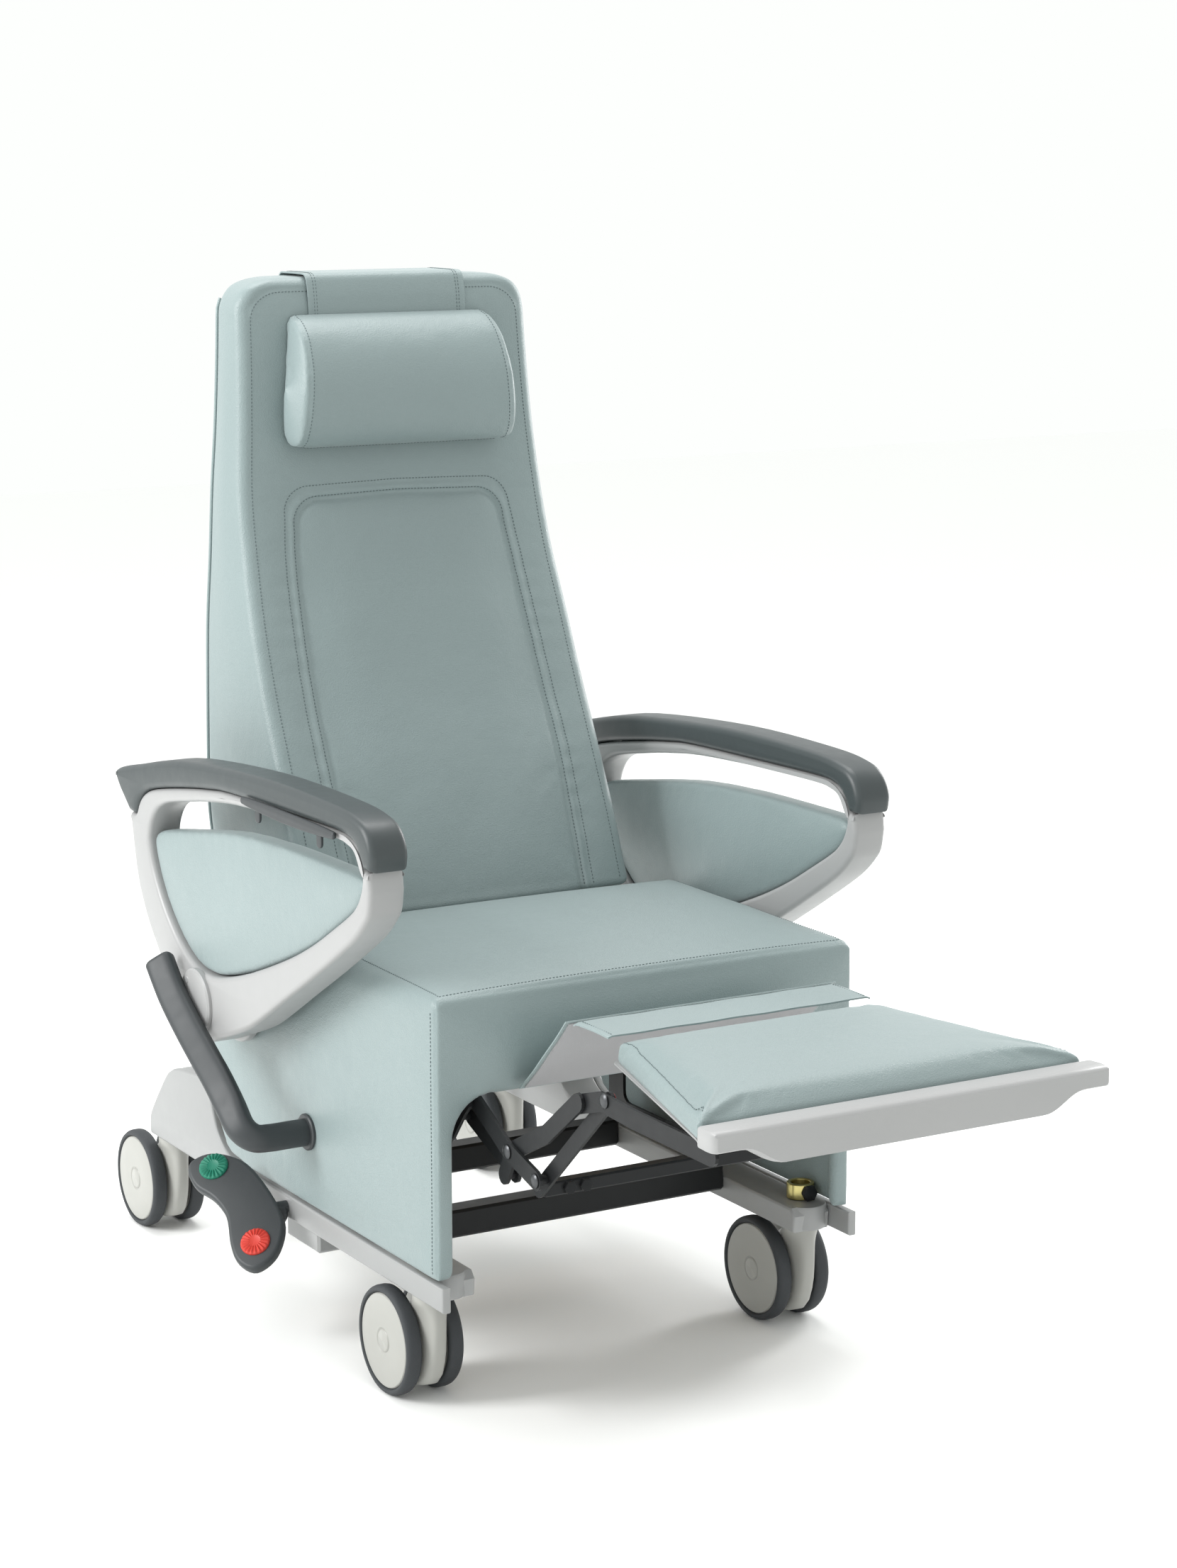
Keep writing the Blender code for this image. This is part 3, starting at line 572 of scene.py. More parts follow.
def front_depth(x, z):
    """The y of the front face: its sweep, its fullness, and what the seams pull in."""
    x, z = np.asarray(x, float), np.asarray(z, float)
    flat = np.stack([x, z], axis=1)
    half = back_half(z)
    s = np.clip(np.abs(x) / half, 0, 1)
    y = np.interp(z, BACK_Z, BACK_Y) - 0.004 * (1 - s ** 3)
    inner = line_distance(flat, INNER_SEAM)
    outer = line_distance(flat, OUTER_SEAM)
    edge = line_distance(flat, EDGE_SEAM)
    inside = (np.abs(x) < np.interp(z, [r[0] for r in INSET], [r[1] for r in INSET]))
    inside &= z < 0.950
    y -= np.where(inside, 0.0045 * (1 - np.exp(-inner / 0.018)), 0.0)
    y += 0.0042 * np.exp(-(inner / 0.0034) ** 2)
    y += 0.0016 * np.exp(-(outer / 0.0020) ** 2)
    y -= 0.0012 * np.exp(-((inner - 0.0065) / 0.004) ** 2) * ~inside
    y += 0.0016 * np.exp(-(edge / 0.0022) ** 2)
    y += 0.0005 * np.exp(-outer / 0.02) * np.sin(z * 190 + 3 * np.sin(z * 31)) * ~inside
    y += 0.0009 * np.exp(-((z - 0.60) / 0.10) ** 2) * np.sin(x * 46 + 1.2 * np.sin(z * 27))
    return y


def top_corner(z):
    """How far the rounded top corners draw the sides in at a height."""
    over = max(0.0, z - (BACK_TOP - BACK_CORNER))
    return BACK_CORNER - math.sqrt(max(BACK_CORNER ** 2 - over ** 2, 0.0))


def back_rear(z):
    """The y of the rear face, which curves in towards the seat."""
    return BACK_REAR - 2.2 * max(0.0, 0.600 - z) ** 2


def build_back():
    """The backrest's skin: level rings from its lower edge up to its rounded top."""
    across, flank = 120, 18
    soft, corner, foot, crown = 0.015, 0.022, 0.010, 0.014
    rows = [(BACK_LOW + foot * (1 - math.cos(t)), foot * (1 - math.sin(t)))
            for t in (0.0, 0.4, 0.8, 1.2)]
    rows += [(z, 0.0) for z in np.linspace(BACK_LOW + foot, BACK_TOP - crown, 190)]
    rows += [(BACK_TOP - crown + crown * math.sin(t), crown * (1 - math.cos(t)))
             for t in np.linspace(0.15, math.pi / 2, 9)]
    rings = []
    for z, tuck in rows:
        half = float(back_half(z)) - tuck - top_corner(z)
        rear = back_rear(z) - tuck * 0.6
        xs = np.linspace(half - soft, -(half - soft), across)
        ys = front_depth(xs, np.full(across, z)) + tuck
        ring = [(float(x), float(y), z) for x, y in zip(xs, ys)]
        for k in range(1, 7):
            t = math.pi / 2 * k / 6
            ring.append((-(half - soft + soft * math.sin(t)),
                         float(ys[-1]) + soft * (1 - math.cos(t)), z))
        deep = float(ys[-1]) + soft
        bow = 0.004 * math.sin(math.pi * min(1.0, max(0.0, (z - 0.47) / 0.745)))
        for s in np.linspace(0.06, 0.94, flank):
            y = deep + (rear - corner - deep) * s
            ring.append((-(half + bow * math.sin(math.pi * s)), y, z))
        for k in range(0, 7):
            t = math.pi / 2 * k / 6
            ring.append((-(half - corner + corner * math.cos(t)),
                         rear - corner + corner * math.sin(t), z))
        for s in np.linspace(-1, 1, 24)[1:-1]:
            ring.append((s * (half - corner), rear + 0.003 * (1 - s * s), z))
        shown = ring[across:across + 6 + flank + 7]
        rings.append(ring + [(-x, y, z) for x, y, z in shown[::-1]])
    mesh = loft(rings)
    co, no = points_of(mesh)
    flat = co[:, (0, 2)]
    seam = np.minimum(line_distance(flat, INNER_SEAM), line_distance(flat, OUTER_SEAM))
    seam = np.minimum(seam, line_distance(flat, EDGE_SEAM))
    hold = (no[:, 1] > -0.35) | (seam < 0.0034) | (co[:, 2] < BACK_LOW + 0.02)
    inside = np.clip((0.150 - np.abs(co[:, 0])) / 0.02, 0, 1) * (co[:, 2] < 0.95)
    mesh = finer(swell(mesh, hold, 0.0016 + 0.0034 * inside, 12))
    skin = mesh.copy()
    cover = piece("back_cover", mesh, "backrest", "vinyl",
                  ("back_cushion", "back_shell"), smooth=0)

    def on_face(path):
        xs, zs = [p[0] for p in path], [p[1] for p in path]
        ys = front_depth(xs, zs) - 0.0002
        return on_skin(skin, [(x, float(y), z) for x, y, z in zip(xs, ys, zs)])

    def resample(path):
        return [(x, z) for x, _, z in walk([(x, 0.0, z) for x, z in path], 0.004)]

    rows = []
    for path in (whole(inset_path(0.0035)), whole(inset_path(0.0165)), whole(edge_line(0.0165))):
        rows.append(on_face([p for p in resample(path) if p[1] > BACK_LOW + 0.008]))
    stitching("back_stitching", rows, "backrest")
    for name, sign in SIDES:
        path = []
        for z in np.linspace(0.50, 1.19, 60):
            half = float(back_half(z)) - top_corner(z)
            path.append((sign * (half - 0.0045), back_rear(z) - 0.004, z))
        tube(f"back_piping_{name}", path, 0.0022, "backrest", "vinyl")


def pillow_rear(z):
    """The y of the bolster's flat back, which leans with the backrest."""
    return 0.2115 + (z - 1.024) * 0.0993


def pillow_half(z):
    """The bolster's half width, narrower towards its top."""
    return 0.149 - (z - 1.014) * 0.08


def build_headrest():
    """The bolster, and the strap that hangs over the top of the back."""
    ring = [(0.2115, 1.024), (0.2250, 1.160), (0.215, 1.169), (0.198, 1.163),
            (0.178, 1.145), (0.163, 1.115), (0.157, 1.085), (0.158, 1.055),
            (0.164, 1.031), (0.175, 1.017), (0.192, 1.014), (0.2055, 1.017)]
    outline = bend(ring, 8, closed=True)
    centre = np.array((0.194, 1.092))
    rings = []
    for s in np.concatenate([np.linspace(-1, -0.9, 9), np.linspace(-0.88, 0.88, 60),
                             np.linspace(0.9, 1, 9)]):
        end = max(0.0, (abs(s) - 0.925) / 0.075)
        share = 1.0 - 0.10 * (1 - math.sqrt(max(0.0, 1 - end * end)))
        seam = 1 - 0.028 * math.exp(-((abs(s) - 0.915) / 0.012) ** 2)
        row = []
        for y, z in outline:
            rear = pillow_rear(z)
            y2 = rear + (y + 0.002 - rear) * share * seam
            z2 = centre[1] + (z - centre[1]) * share * seam
            row.append((s * pillow_half(z), min(y2, rear), z2))
        rings.append(row)
    for sign in (-1, 1):
        last = rings[0] if sign < 0 else rings[-1]
        for k in range(1, 6):
            t = k / 5
            add = [(x + sign * 0.006 * math.sin(math.pi / 2 * t),
                    centre[0] + (y - centre[0]) * (1 - 0.92 * t),
                    centre[1] + (z - centre[1]) * (1 - 0.92 * t)) for x, y, z in last]
            rings = [add] + rings if sign < 0 else rings + [add]
    skin = remesh(loft(rings), 0.0044, 3)
    co, _ = points_of(skin)
    hold = co[:, 1] > pillow_rear(co[:, 2]) - 0.004
    seams = []
    for s in (-0.955, 0.955):
        seams.append([(s * pillow_half(z), pillow_rear(z) + (y - pillow_rear(z)) * 0.985, z)
                      for y, z in outline])
    ends = np.minimum(near(co, seams[0]), near(co, seams[1]))
    hold |= ends < 0.0035
    skin = finer(swell(skin, hold, 0.0040))
    for path in seams:
        groove(skin, path, 0.0018, 0.0024)
    skin_copy = skin.copy()
    pillow = piece("headrest_cover", skin, "headrest", "vinyl",
                   ("headrest_pillow",), smooth=0)
    rows = []
    for s in (-0.925, 0.925):
        row = [(s * pillow_half(z), y, z) for y, z in outline if pillow_rear(z) - y > 0.004]
        rows.append(on_skin(skin_copy, row))
    bottom = [(-0.135, 0.1875, 1.0135), (0.135, 0.1875, 1.0135)]
    stitching("headrest_stitching", rows + [on_skin(skin_copy, bottom)], "headrest")
    line = [(float(np.interp(z, BACK_Z, BACK_Y)) - 0.0055, z)
            for z in np.linspace(1.060, 1.195, 14)]
    line += [(0.2295, 1.207), (0.2325, 1.2145), (0.238, 1.2180), (0.250, 1.2185),
             (0.290, 1.2185), (0.3005, 1.2180), (0.3062, 1.2120), (0.3078, 1.200)]
    line += [(0.3082, z) for z in np.linspace(1.185, 1.060, 12)]
    smooth_line = bend(line, 4)
    outer = []
    for i, (y, z) in enumerate(smooth_line):
        a = smooth_line[max(i - 1, 0)]
        b = smooth_line[min(i + 1, len(smooth_line) - 1)]
        way = Vector((b[0] - a[0], b[1] - a[1])).normalized()
        outer.append((y - way.y * 0.0018, z + way.x * 0.0018))
    rings = []
    for x in np.linspace(-0.107, 0.107, 60):
        hem = 0.0006 * math.exp(-((abs(x) - 0.098) / 0.003) ** 2)
        wave = 0.0005 * math.sin(x * 60)
        rings.append([(x, y - hem * 0.3, z) for y, z in smooth_line]
                     + [(x, y - 0.4 * wave, z - hem) for y, z in outer[::-1]])
    strap = piece("headrest_band", loft(rings), "backrest", "vinyl",
                  ("headrest_strap",), smooth=50)
    rows = []
    for x in (-0.099, 0.099, -0.0955, 0.0955):
        rows.append([(x, y, z + 0.0002) for y, z in outer])
    stitching("band_stitching", rows, "backrest", radius=0.0004)


# --------------------------------------------------------------------- seat

def build_seat():
    """Seat cushion, side panels and front panel as one sewn skin."""
    half, front, rear = 0.2745, -0.4015, -0.002
    corner = 0.014
    block = rounded(((half - 0.003 - corner, rear - 0.004 - corner, 0.0),
                     (-half + 0.003 + corner, rear - 0.004 - corner, 0.5),
                     (-half + 0.003 + corner, front + 0.003 + corner, 1.0),
                     (half - 0.003 - corner, front + 0.003 + corner, 1.5)), corner)
    cushion = plate(block, 0.0405, 0.009, (), Matrix.Translation((0, 0, 0.4385)))
    arch = [(0.2475, 0.1612)]
    for k in range(13):
        turn = math.pi / 2 * k / 12
        arch.append((0.2005 + 0.047 * math.cos(turn), 0.3170 + 0.047 * math.sin(turn)))
    right = [(half - 0.003, 0.4700), (half - 0.003, 0.1612)] + arch
    outline = right + [(-x, z) for x, z in right[::-1]]
    move = Matrix.Translation((0, front + 0.0105, 0))
    apron = plate(outline, 0.0080, 0.0060, (), move @ AXES_Y)
    side = [(front + 0.0035, 0.1612), (0.096, 0.1612), (0.136, 0.1662), (0.151, 0.172),
            (0.176, 0.2045), (0.189, 0.227), (0.2005, 0.256), (0.206, 0.275), (0.206, 0.330),
            (0.196, 0.372), (0.170, 0.3925), (-0.002, 0.4680), (-0.010, 0.4745),
            (front + 0.0035, 0.4745)]
    flanks = [side_plate(side, (half - 0.0140) * sign, (half - 0.0025) * sign, 0.0040)
              for _, sign in SIDES]
    skin = remesh(join(cushion, apron, *flanks), 0.0056, 4)
    co, no = points_of(skin)
    seam_z = 0.4800
    edge = [(-half + 0.004, -0.012, seam_z), (-half + 0.004, front + 0.006, seam_z),
            (half - 0.004, front + 0.006, seam_z), (half - 0.004, -0.012, seam_z)]
    corners = [[(sign * (half - 0.0035), front + 0.0050, 0.165),
                (sign * (half - 0.0035), front + 0.0050, seam_z)] for _, sign in SIDES]
    inner = (np.abs(co[:, 0]) < half - 0.0085) & (co[:, 1] > front + 0.0085) & (co[:, 2] < 0.43)
    hold = inner | (co[:, 1] > rear - 0.012) | (co[:, 2] < 0.166)
    hold |= near(co, edge) < 0.0045
    hold |= np.minimum(near(co, corners[0]), near(co, corners[1])) < 0.004
    ring = np.hypot(co[:, 1] - PIVOT[0], co[:, 2] - PIVOT[1]) < 0.060
    hold |= ring & (np.abs(co[:, 0]) > 0.25)
    rise = np.clip((co[:, 2] - 0.470) / 0.006, 0, 1)
    upper = np.clip((co[:, 2] - 0.36) / 0.05, 0, 1)
    most = 0.0040 + 0.0045 * upper * (co[:, 1] < front + 0.02) + 0.0130 * rise
    skin = swell(skin, hold, most)
    co, no = points_of(skin)
    v = np.clip((co[:, 1] - front) / (rear - front), 0, 1)
    s = np.clip(np.abs(co[:, 0]) / half, 0, 1)
    top = np.clip(no[:, 2], 0, 1) * (co[:, 2] > 0.468)
    co[:, 2] += top * 0.0085 * (1 - s ** 2.6) * np.sin(math.pi * (0.10 + 0.84 * v)) ** 0.7
    face = np.clip(-no[:, 1], 0, 1) * (co[:, 1] < front + 0.012)
    bulge = np.exp(-((co[:, 2] - 0.432) / 0.040) ** 2) * (1 - s ** 4)
    co[:, 1] -= face * 0.0050 * bulge
    skin = finer(moved_to(skin, co))
    groove(skin, edge, 0.0026, 0.0030)
    for path in corners:
        groove(skin, path, 0.0018, 0.0026)
    over = 0.0070
    stitch = [(-half + 0.004 + over, -0.030, 0.49), (-half + 0.004 + over, front + 0.012, 0.49),
              (half - 0.004 - over, front + 0.012, 0.49), (half - 0.004 - over, -0.030, 0.49)]
    rows = [on_skin(skin, stitch)]
    for _, sign in SIDES:
        rows.append(on_skin(skin, [(sign * (half + 0.002), front + 0.0125, 0.168),
                                   (sign * (half + 0.002), front + 0.0125, 0.472)]))
    stitching("seat_stitching", rows, "base")
    cover = piece("seat_cover", skin, "base", "vinyl",
                  ("seat_cushion", "front_panel", "side_panel_left", "side_panel_right"),
                  smooth=0)


# --------------------------------------------------------------------- arms

CAP_JOINT = ((0.275, 0.574), (0.259, 0.5745), (0.248, 0.590), (0.236, 0.601),
             (0.214, 0.6105), (0.171, 0.6195), (0.108, 0.630), (0.047, 0.6385),
             (-0.012, 0.644), (-0.163, 0.648), (-0.287, 0.6505), (-0.322, 0.648),
             (-0.342, 0.640), (-0.358, 0.6185))
CAP_TOP = ((-0.3765, 0.6195), (-0.3785, 0.640), (-0.366, 0.6615), (-0.339, 0.673),
           (-0.271, 0.6785), (-0.093, 0.6775), (0.122, 0.661), (0.248, 0.637),
           (0.311, 0.6225), (0.3155, 0.612), (0.303, 0.597))
FRAME_UNDER = ((-0.3715, 0.598), (-0.367, 0.574), (-0.357, 0.560), (-0.335, 0.540),
               (-0.300, 0.517), (-0.230, 0.475), (-0.155, 0.432), (-0.100, 0.400),
               (-0.058, 0.377), (-0.019, 0.361), (0.036, 0.341), (0.060, 0.333),
               (0.082, 0.330), (0.104, 0.333), (0.124, 0.342), (0.150, 0.362),
               (0.176, 0.390), (0.200, 0.416), (0.224, 0.441), (0.244, 0.469),
               (0.258, 0.497), (0.268, 0.535), (0.273, 0.560))
OPENING = ((0.219, 0.560), (0.213, 0.573), (0.203, 0.585), (0.188, 0.595), (0.161, 0.604),
           (0.105, 0.6145), (0.048, 0.624), (-0.031, 0.6335), (-0.160, 0.640),
           (-0.287, 0.643), (-0.322, 0.641), (-0.343, 0.629), (-0.352, 0.610),
           (-0.347, 0.592), (-0.336, 0.577), (-0.318, 0.563), (-0.275, 0.538),
           (-0.230, 0.513), (-0.184, 0.491), (-0.138, 0.472), (-0.090, 0.454),
           (-0.042, 0.4375), (0.018, 0.421), (0.058, 0.416), (0.098, 0.421), (0.139, 0.441),
           (0.179, 0.475), (0.208, 0.514), (0.220, 0.545))
INFILL = ((0.2185, 0.5485), (0.206, 0.561), (0.170, 0.5685), (0.132, 0.575),
          (0.050, 0.5885), (-0.029, 0.5985), (-0.143, 0.605), (-0.268, 0.607),
          (-0.325, 0.6065), (-0.343, 0.602), (-0.3455, 0.592), (-0.3355, 0.578),
          (-0.3175, 0.564), (-0.275, 0.539), (-0.230, 0.514), (-0.184, 0.492),
          (-0.138, 0.473), (-0.090, 0.455), (-0.042, 0.4385), (0.018, 0.422),
          (0.058, 0.417), (0.098, 0.422), (0.139, 0.442), (0.179, 0.476), (0.207, 0.515))


def build_arms():
    """Both drop arms: moulded frame, soft cap, infill and paddle."""
    joint = list(CAP_JOINT)
    body_line = bend(joint + [(-0.3685, 0.6185)], 4) + bend(FRAME_UNDER, 4)
    hole = bend(OPENING, 4, closed=True)
    cap_line = [(y, z + 0.0008) for y, z in bend(joint, 4)] + bend(CAP_TOP, 5)
    infill = bend(INFILL, 4, closed=True)
    rim = 0.0065
    filled = remesh(side_plate(infill, -0.2965, -0.3275, 0.007), 0.0040, 4)
    co, _ = points_of(filled)
    inside = edge_distance(co[:, (1, 2)], infill)
    filled = swell(filled, inside < 0.0045, 0.0058)
    filled = puff(finer(filled), infill, 0.0015, 0.020, 0.00008)
    for name, sign in SIDES:
        owner = f"arm_{name}"
        mesh = side_plate(body_line, 0.290 * sign, 0.334 * sign, rim, [hole])
        boss = lathe(((0, 0.330), (0.0385, 0.330), (0.0405, 0.332), (0.0405, 0.3375),
                      (0.0385, 0.3398), (0.034, 0.3400), (0, 0.3400)),
                     outwards(sign, (0, *PIVOT)))
        stub = pin(0.2752 * sign, 0.294 * sign, *PIVOT, 0.0255)
        piece(f"arm_shell_{name}", join(mesh, boss, stub), owner, "shell",
              (f"arm_frame_{name}",), smooth=35)
        dimple = pin(0.3385 * sign, 0.3408 * sign, 0.100, 0.402, 0.0045)
        piece(f"boss_plug_{name}", dimple, owner, "paint")
        cap = side_plate(cap_line, 0.2885 * sign, 0.3358 * sign, 0.0085)
        soft = piece(f"arm_rest_{name}", cap, owner, "cap", (f"arm_cap_{name}",),
                     smooth=45)
        mesh = filled.copy()
        if sign > 0:
            mesh.transform(Matrix.Scale(-1, 4, (1, 0, 0)))
            mesh.flip_normals()
        pad = piece(f"arm_infill_{name}", mesh, owner, "vinyl",
                    (f"arm_panel_{name}",), smooth=0)
        paddle = strip(bend(((-0.068, 0.6470), (-0.180, 0.6460), (-0.297, 0.6475)), 6),
                       [0.0042 + 0.0030 * math.sin(math.pi * k / 12) for k in range(13)])
        mesh = side_plate(paddle, 0.3364 * sign, 0.3416 * sign, 0.0020)
        tabs = [side_plate(strip(((y, 0.6415), (y, 0.6330)), (0.006, 0.006)),
                           0.3362 * sign, 0.3395 * sign, 0.001) for y in (-0.105, -0.262)]
        piece(f"arm_paddle_{name}", join(mesh, *tabs), f"latch_{name}", "dark",
              (f"arm_latch_{name}",), smooth=40)
        ring = side_plate(circle(PIVOT, 0.054, 96), 0.2749 * sign, 0.2868 * sign,
                          0.003, [circle(PIVOT, 0.0265, 64)])
        piece(f"bezel_ring_{name}", ring, "base", "shell",
              (f"pivot_bezel_{name}",), smooth=40)


# ---------------------------------------------------------- lever and pedal

def build_controls():
    """The recline lever and the two-pad rocker pedal."""
    line = bend(((-0.2752, -0.090, 0.254), (-0.300, -0.090, 0.254), (-0.324, -0.0905, 0.2542),
                 (-0.343, -0.089, 0.2565), (-0.3545, -0.078, 0.267), (-0.3565, -0.055, 0.287),
                 (-0.3565, -0.020, 0.310), (-0.3565, 0.020, 0.332), (-0.3565, 0.060, 0.355),
                 (-0.3565, 0.104, 0.384), (-0.3565, 0.140, 0.417)), 8)
    rings, across = [], Vector((0, 0, 1))
    steps = [Vector(point) for point in line]
    ways = [(steps[min(i + 1, len(steps) - 1)] - steps[max(i - 1, 0)]).normalized()
            for i in range(len(steps))]
    for i, (spot, way) in enumerate(zip(steps, ways)):
        across = (across - way * across.dot(way)).normalized()
        depth = way.cross(across)
        flat = min(1.0, max(0.0, (i - 20) / 22))
        wide, thick = 0.0160 + 0.0018 * flat, 0.0160 - 0.0058 * flat
        power = 2.0 + 1.4 * flat
        shares = [(0.0, 1.0)]
        if i == len(steps) - 1:
            shares = [(0.006 * math.sin(t), 0.35 + 0.65 * math.cos(t))
                      for t in np.linspace(0, math.pi / 2, 6)]
        for ahead, share in shares:
            ring = []
            for k in range(40):
                c, n = squared(2 * math.pi * k / 40, power)
                ring.append(spot + way * ahead + across * (wide - 0.010 * (1 - share)) * c
                            + depth * (thick - 0.008 * (1 - share)) * n)
            rings.append(ring)
    piece("lever_grip", loft(rings), "lever", "dark", ("recline_lever",),
          smooth=50)
    collar = pin(-0.2800, -0.2748, -0.090, 0.254, 0.0215, 0.0015, 48)
    piece("lever_collar", collar, "base", "dark", smooth=40)
    normal = Vector((-0.50, -0.42, 0.757)).normalized()
    centre = Vector((-0.300, -0.020, 0.146))

    def lift(x, y):
        z = -(normal.x * (x - centre.x) + normal.y * (y - centre.y)) / normal.z
        return Vector((x, y, centre.z + z))

    across = normal.cross(Vector((0.0, 1.0, 0.0))).normalized()
    along = normal.cross(across)
    basis = Matrix.Translation(centre) @ Matrix(
        ((across.x, along.x, normal.x, 0), (across.y, along.y, normal.y, 0),
         (across.z, along.z, normal.z, 0), (0, 0, 0, 1)))
    rim = []
    for x, y in ((-0.342, 0.089), (-0.321, 0.080), (-0.301, 0.054), (-0.291, 0.026),
                 (-0.2865, -0.020), (-0.290, -0.055), (-0.311, -0.077), (-0.337, -0.075),
                 (-0.349, -0.052), (-0.347, -0.028), (-0.338, 0.002), (-0.341, 0.0315),
                 (-0.351, 0.0585), (-0.351, 0.080)):
        away = lift(x, y) - centre
        rim.append((away.dot(across), away.dot(along)))
    slab = plate(bend(rim, 5, closed=True), 0.0072, 0.0045, (), basis)
    hub = pin(-0.297, -0.2745, -0.021, 0.1375, 0.012, 0.003)
    shaft = pin(-0.300, -0.205, -0.021, 0.1445, 0.0072)
    piece("pedal_rocker", join(slab, hub, shaft), "pedal", "dark",
          ("brake_pedal",), smooth=40)
    for name, spot, look in (("steer", (-0.325, 0.062), "green"),
                             ("brake", (-0.324, -0.050), "red")):
        rings = []
        steps = 120
        for radius, height, wave in ((0.0002, 0.0110, 0), (0.006, 0.0110, 0),
                                     (0.0070, 0.0114, 0.0), (0.0085, 0.0112, 0.0008),
                                     (0.0150, 0.0110, 0.0009), (0.0170, 0.0100, 0.0006),
                                     (0.0178, 0.0085, 0.0), (0.0178, 0.0070, 0.0)):
            ring = []
            for i in range(steps):
                t = 2 * math.pi * i / steps
                rise = height + wave * math.cos(20 * t)
                ring.append(lift(*spot) + across * radius * math.cos(t)
                            + along * radius * math.sin(t) + normal * rise)
            rings.append(ring)
        piece(f"{name}_button", loft(rings), "pedal", look,
              (f"{name}_pad",), smooth=40)


# ------------------------------------------------------------- running gear

def build_casters():
    """Four swivelling housings, each with a pair of wheels."""
    disc = ((0.0, 0.0358), (0.0110, 0.0358), (0.0122, 0.0352), (0.0132, 0.0341),
            (0.0142, 0.0345), (0.0152, 0.0352), (0.0300, 0.0356), (0.0500, 0.0352),
            (0.0528, 0.0345), (0.0540, 0.0332), (0.0545, 0.0300), (0.0545, 0.0180),
            (0.0400, 0.0172), (0.0120, 0.0170), (0.0, 0.0170))
    tread = ((0.0546, 0.0330), (0.0560, 0.0352), (0.0580, 0.0357), (0.0602, 0.0348),
             (0.0618, 0.0322), (0.0625, 0.0290), (0.0625, 0.0225), (0.0617, 0.0192),
             (0.0600, 0.0172), (0.0570, 0.0166), (0.0546, 0.0175))
    for row, y in (("front", -0.335), ("rear", 0.365)):
        for name, sign in SIDES:
            x = 0.245 * sign
            axle = Vector((x, y + 0.050, 0.0625))
            discs, treads = [], []
            for turn in (-1, 1):
                place = outwards(turn, axle)
                discs.append(lathe(disc, place, 96))
                bm = bmesh.new()
                rings = []
                for radius, depth in tread:
                    rings.append([bm.verts.new(place @ Vector((u, v, depth)))
                                  for u, v in circle((0, 0), radius, 96)])
                for k in range(len(rings)):
                    low, high = rings[k], rings[(k + 1) % len(rings)]
                    for i in range(96):
                        j = (i + 1) % 96
                        bm.faces.new((low[i], low[j], high[j], high[i]))
                treads.append(closed_mesh(bm))
            wheel = f"wheel_{row}_{name}"
            piece(f"tread_{row}_{name}", join(*treads), wheel, "tyre",
                  (f"wheel_pair_{row}_{name}",), smooth=40)
            rod = pin(axle.x - 0.017, axle.x + 0.017, axle.y, axle.z, 0.006)
            piece(f"disc_{row}_{name}", join(*discs, rod), wheel, "cream",
                  smooth=32)
            rings = []
            for z, fore, aft, half, power in (
                    (0.0165, 0.012, 0.048, 0.0118, 2.6), (0.022, -0.002, 0.062, 0.0135, 2.8),
                    (0.034, -0.012, 0.072, 0.0140, 3.2), (0.050, -0.018, 0.080, 0.0140, 3.4),
                    (0.064, -0.021, 0.083, 0.0140, 3.4), (0.078, -0.0225, 0.080, 0.0140, 3.2),
                    (0.090, -0.0230, 0.070, 0.0140, 3.0), (0.100, -0.0228, 0.055, 0.0142, 2.8),
                    (0.1075, -0.0222, 0.040, 0.0155, 2.5), (0.1135, -0.0216, 0.030, 0.0180, 2.2),
                    (0.119, -0.0214, 0.0235, 0.0205, 2.0), (0.126, -0.0214, 0.0214, 0.0214, 2.0),
                    (0.1277, -0.0206, 0.0206, 0.0206, 2.0)):
                middle, reach = (fore + aft) / 2, (aft - fore) / 2
                ring = []
                for i in range(64):
                    c, s = squared(2 * math.pi * i / 64, power)
                    ring.append((x + half * c, y + middle + reach * s, z))
                rings.append(ring)
            stem = lathe(((0, 0.126), (0.011, 0.126), (0.011, 0.169), (0.010, 0.170), (0, 0.170)),
                         Matrix.Translation((x, y, 0)), 32)
            piece(f"caster_fork_{row}_{name}", join(loft(rings), stem), f"caster_{row}_{name}",
                  "cream", (f"caster_housing_{row}_{name}",), smooth=50)


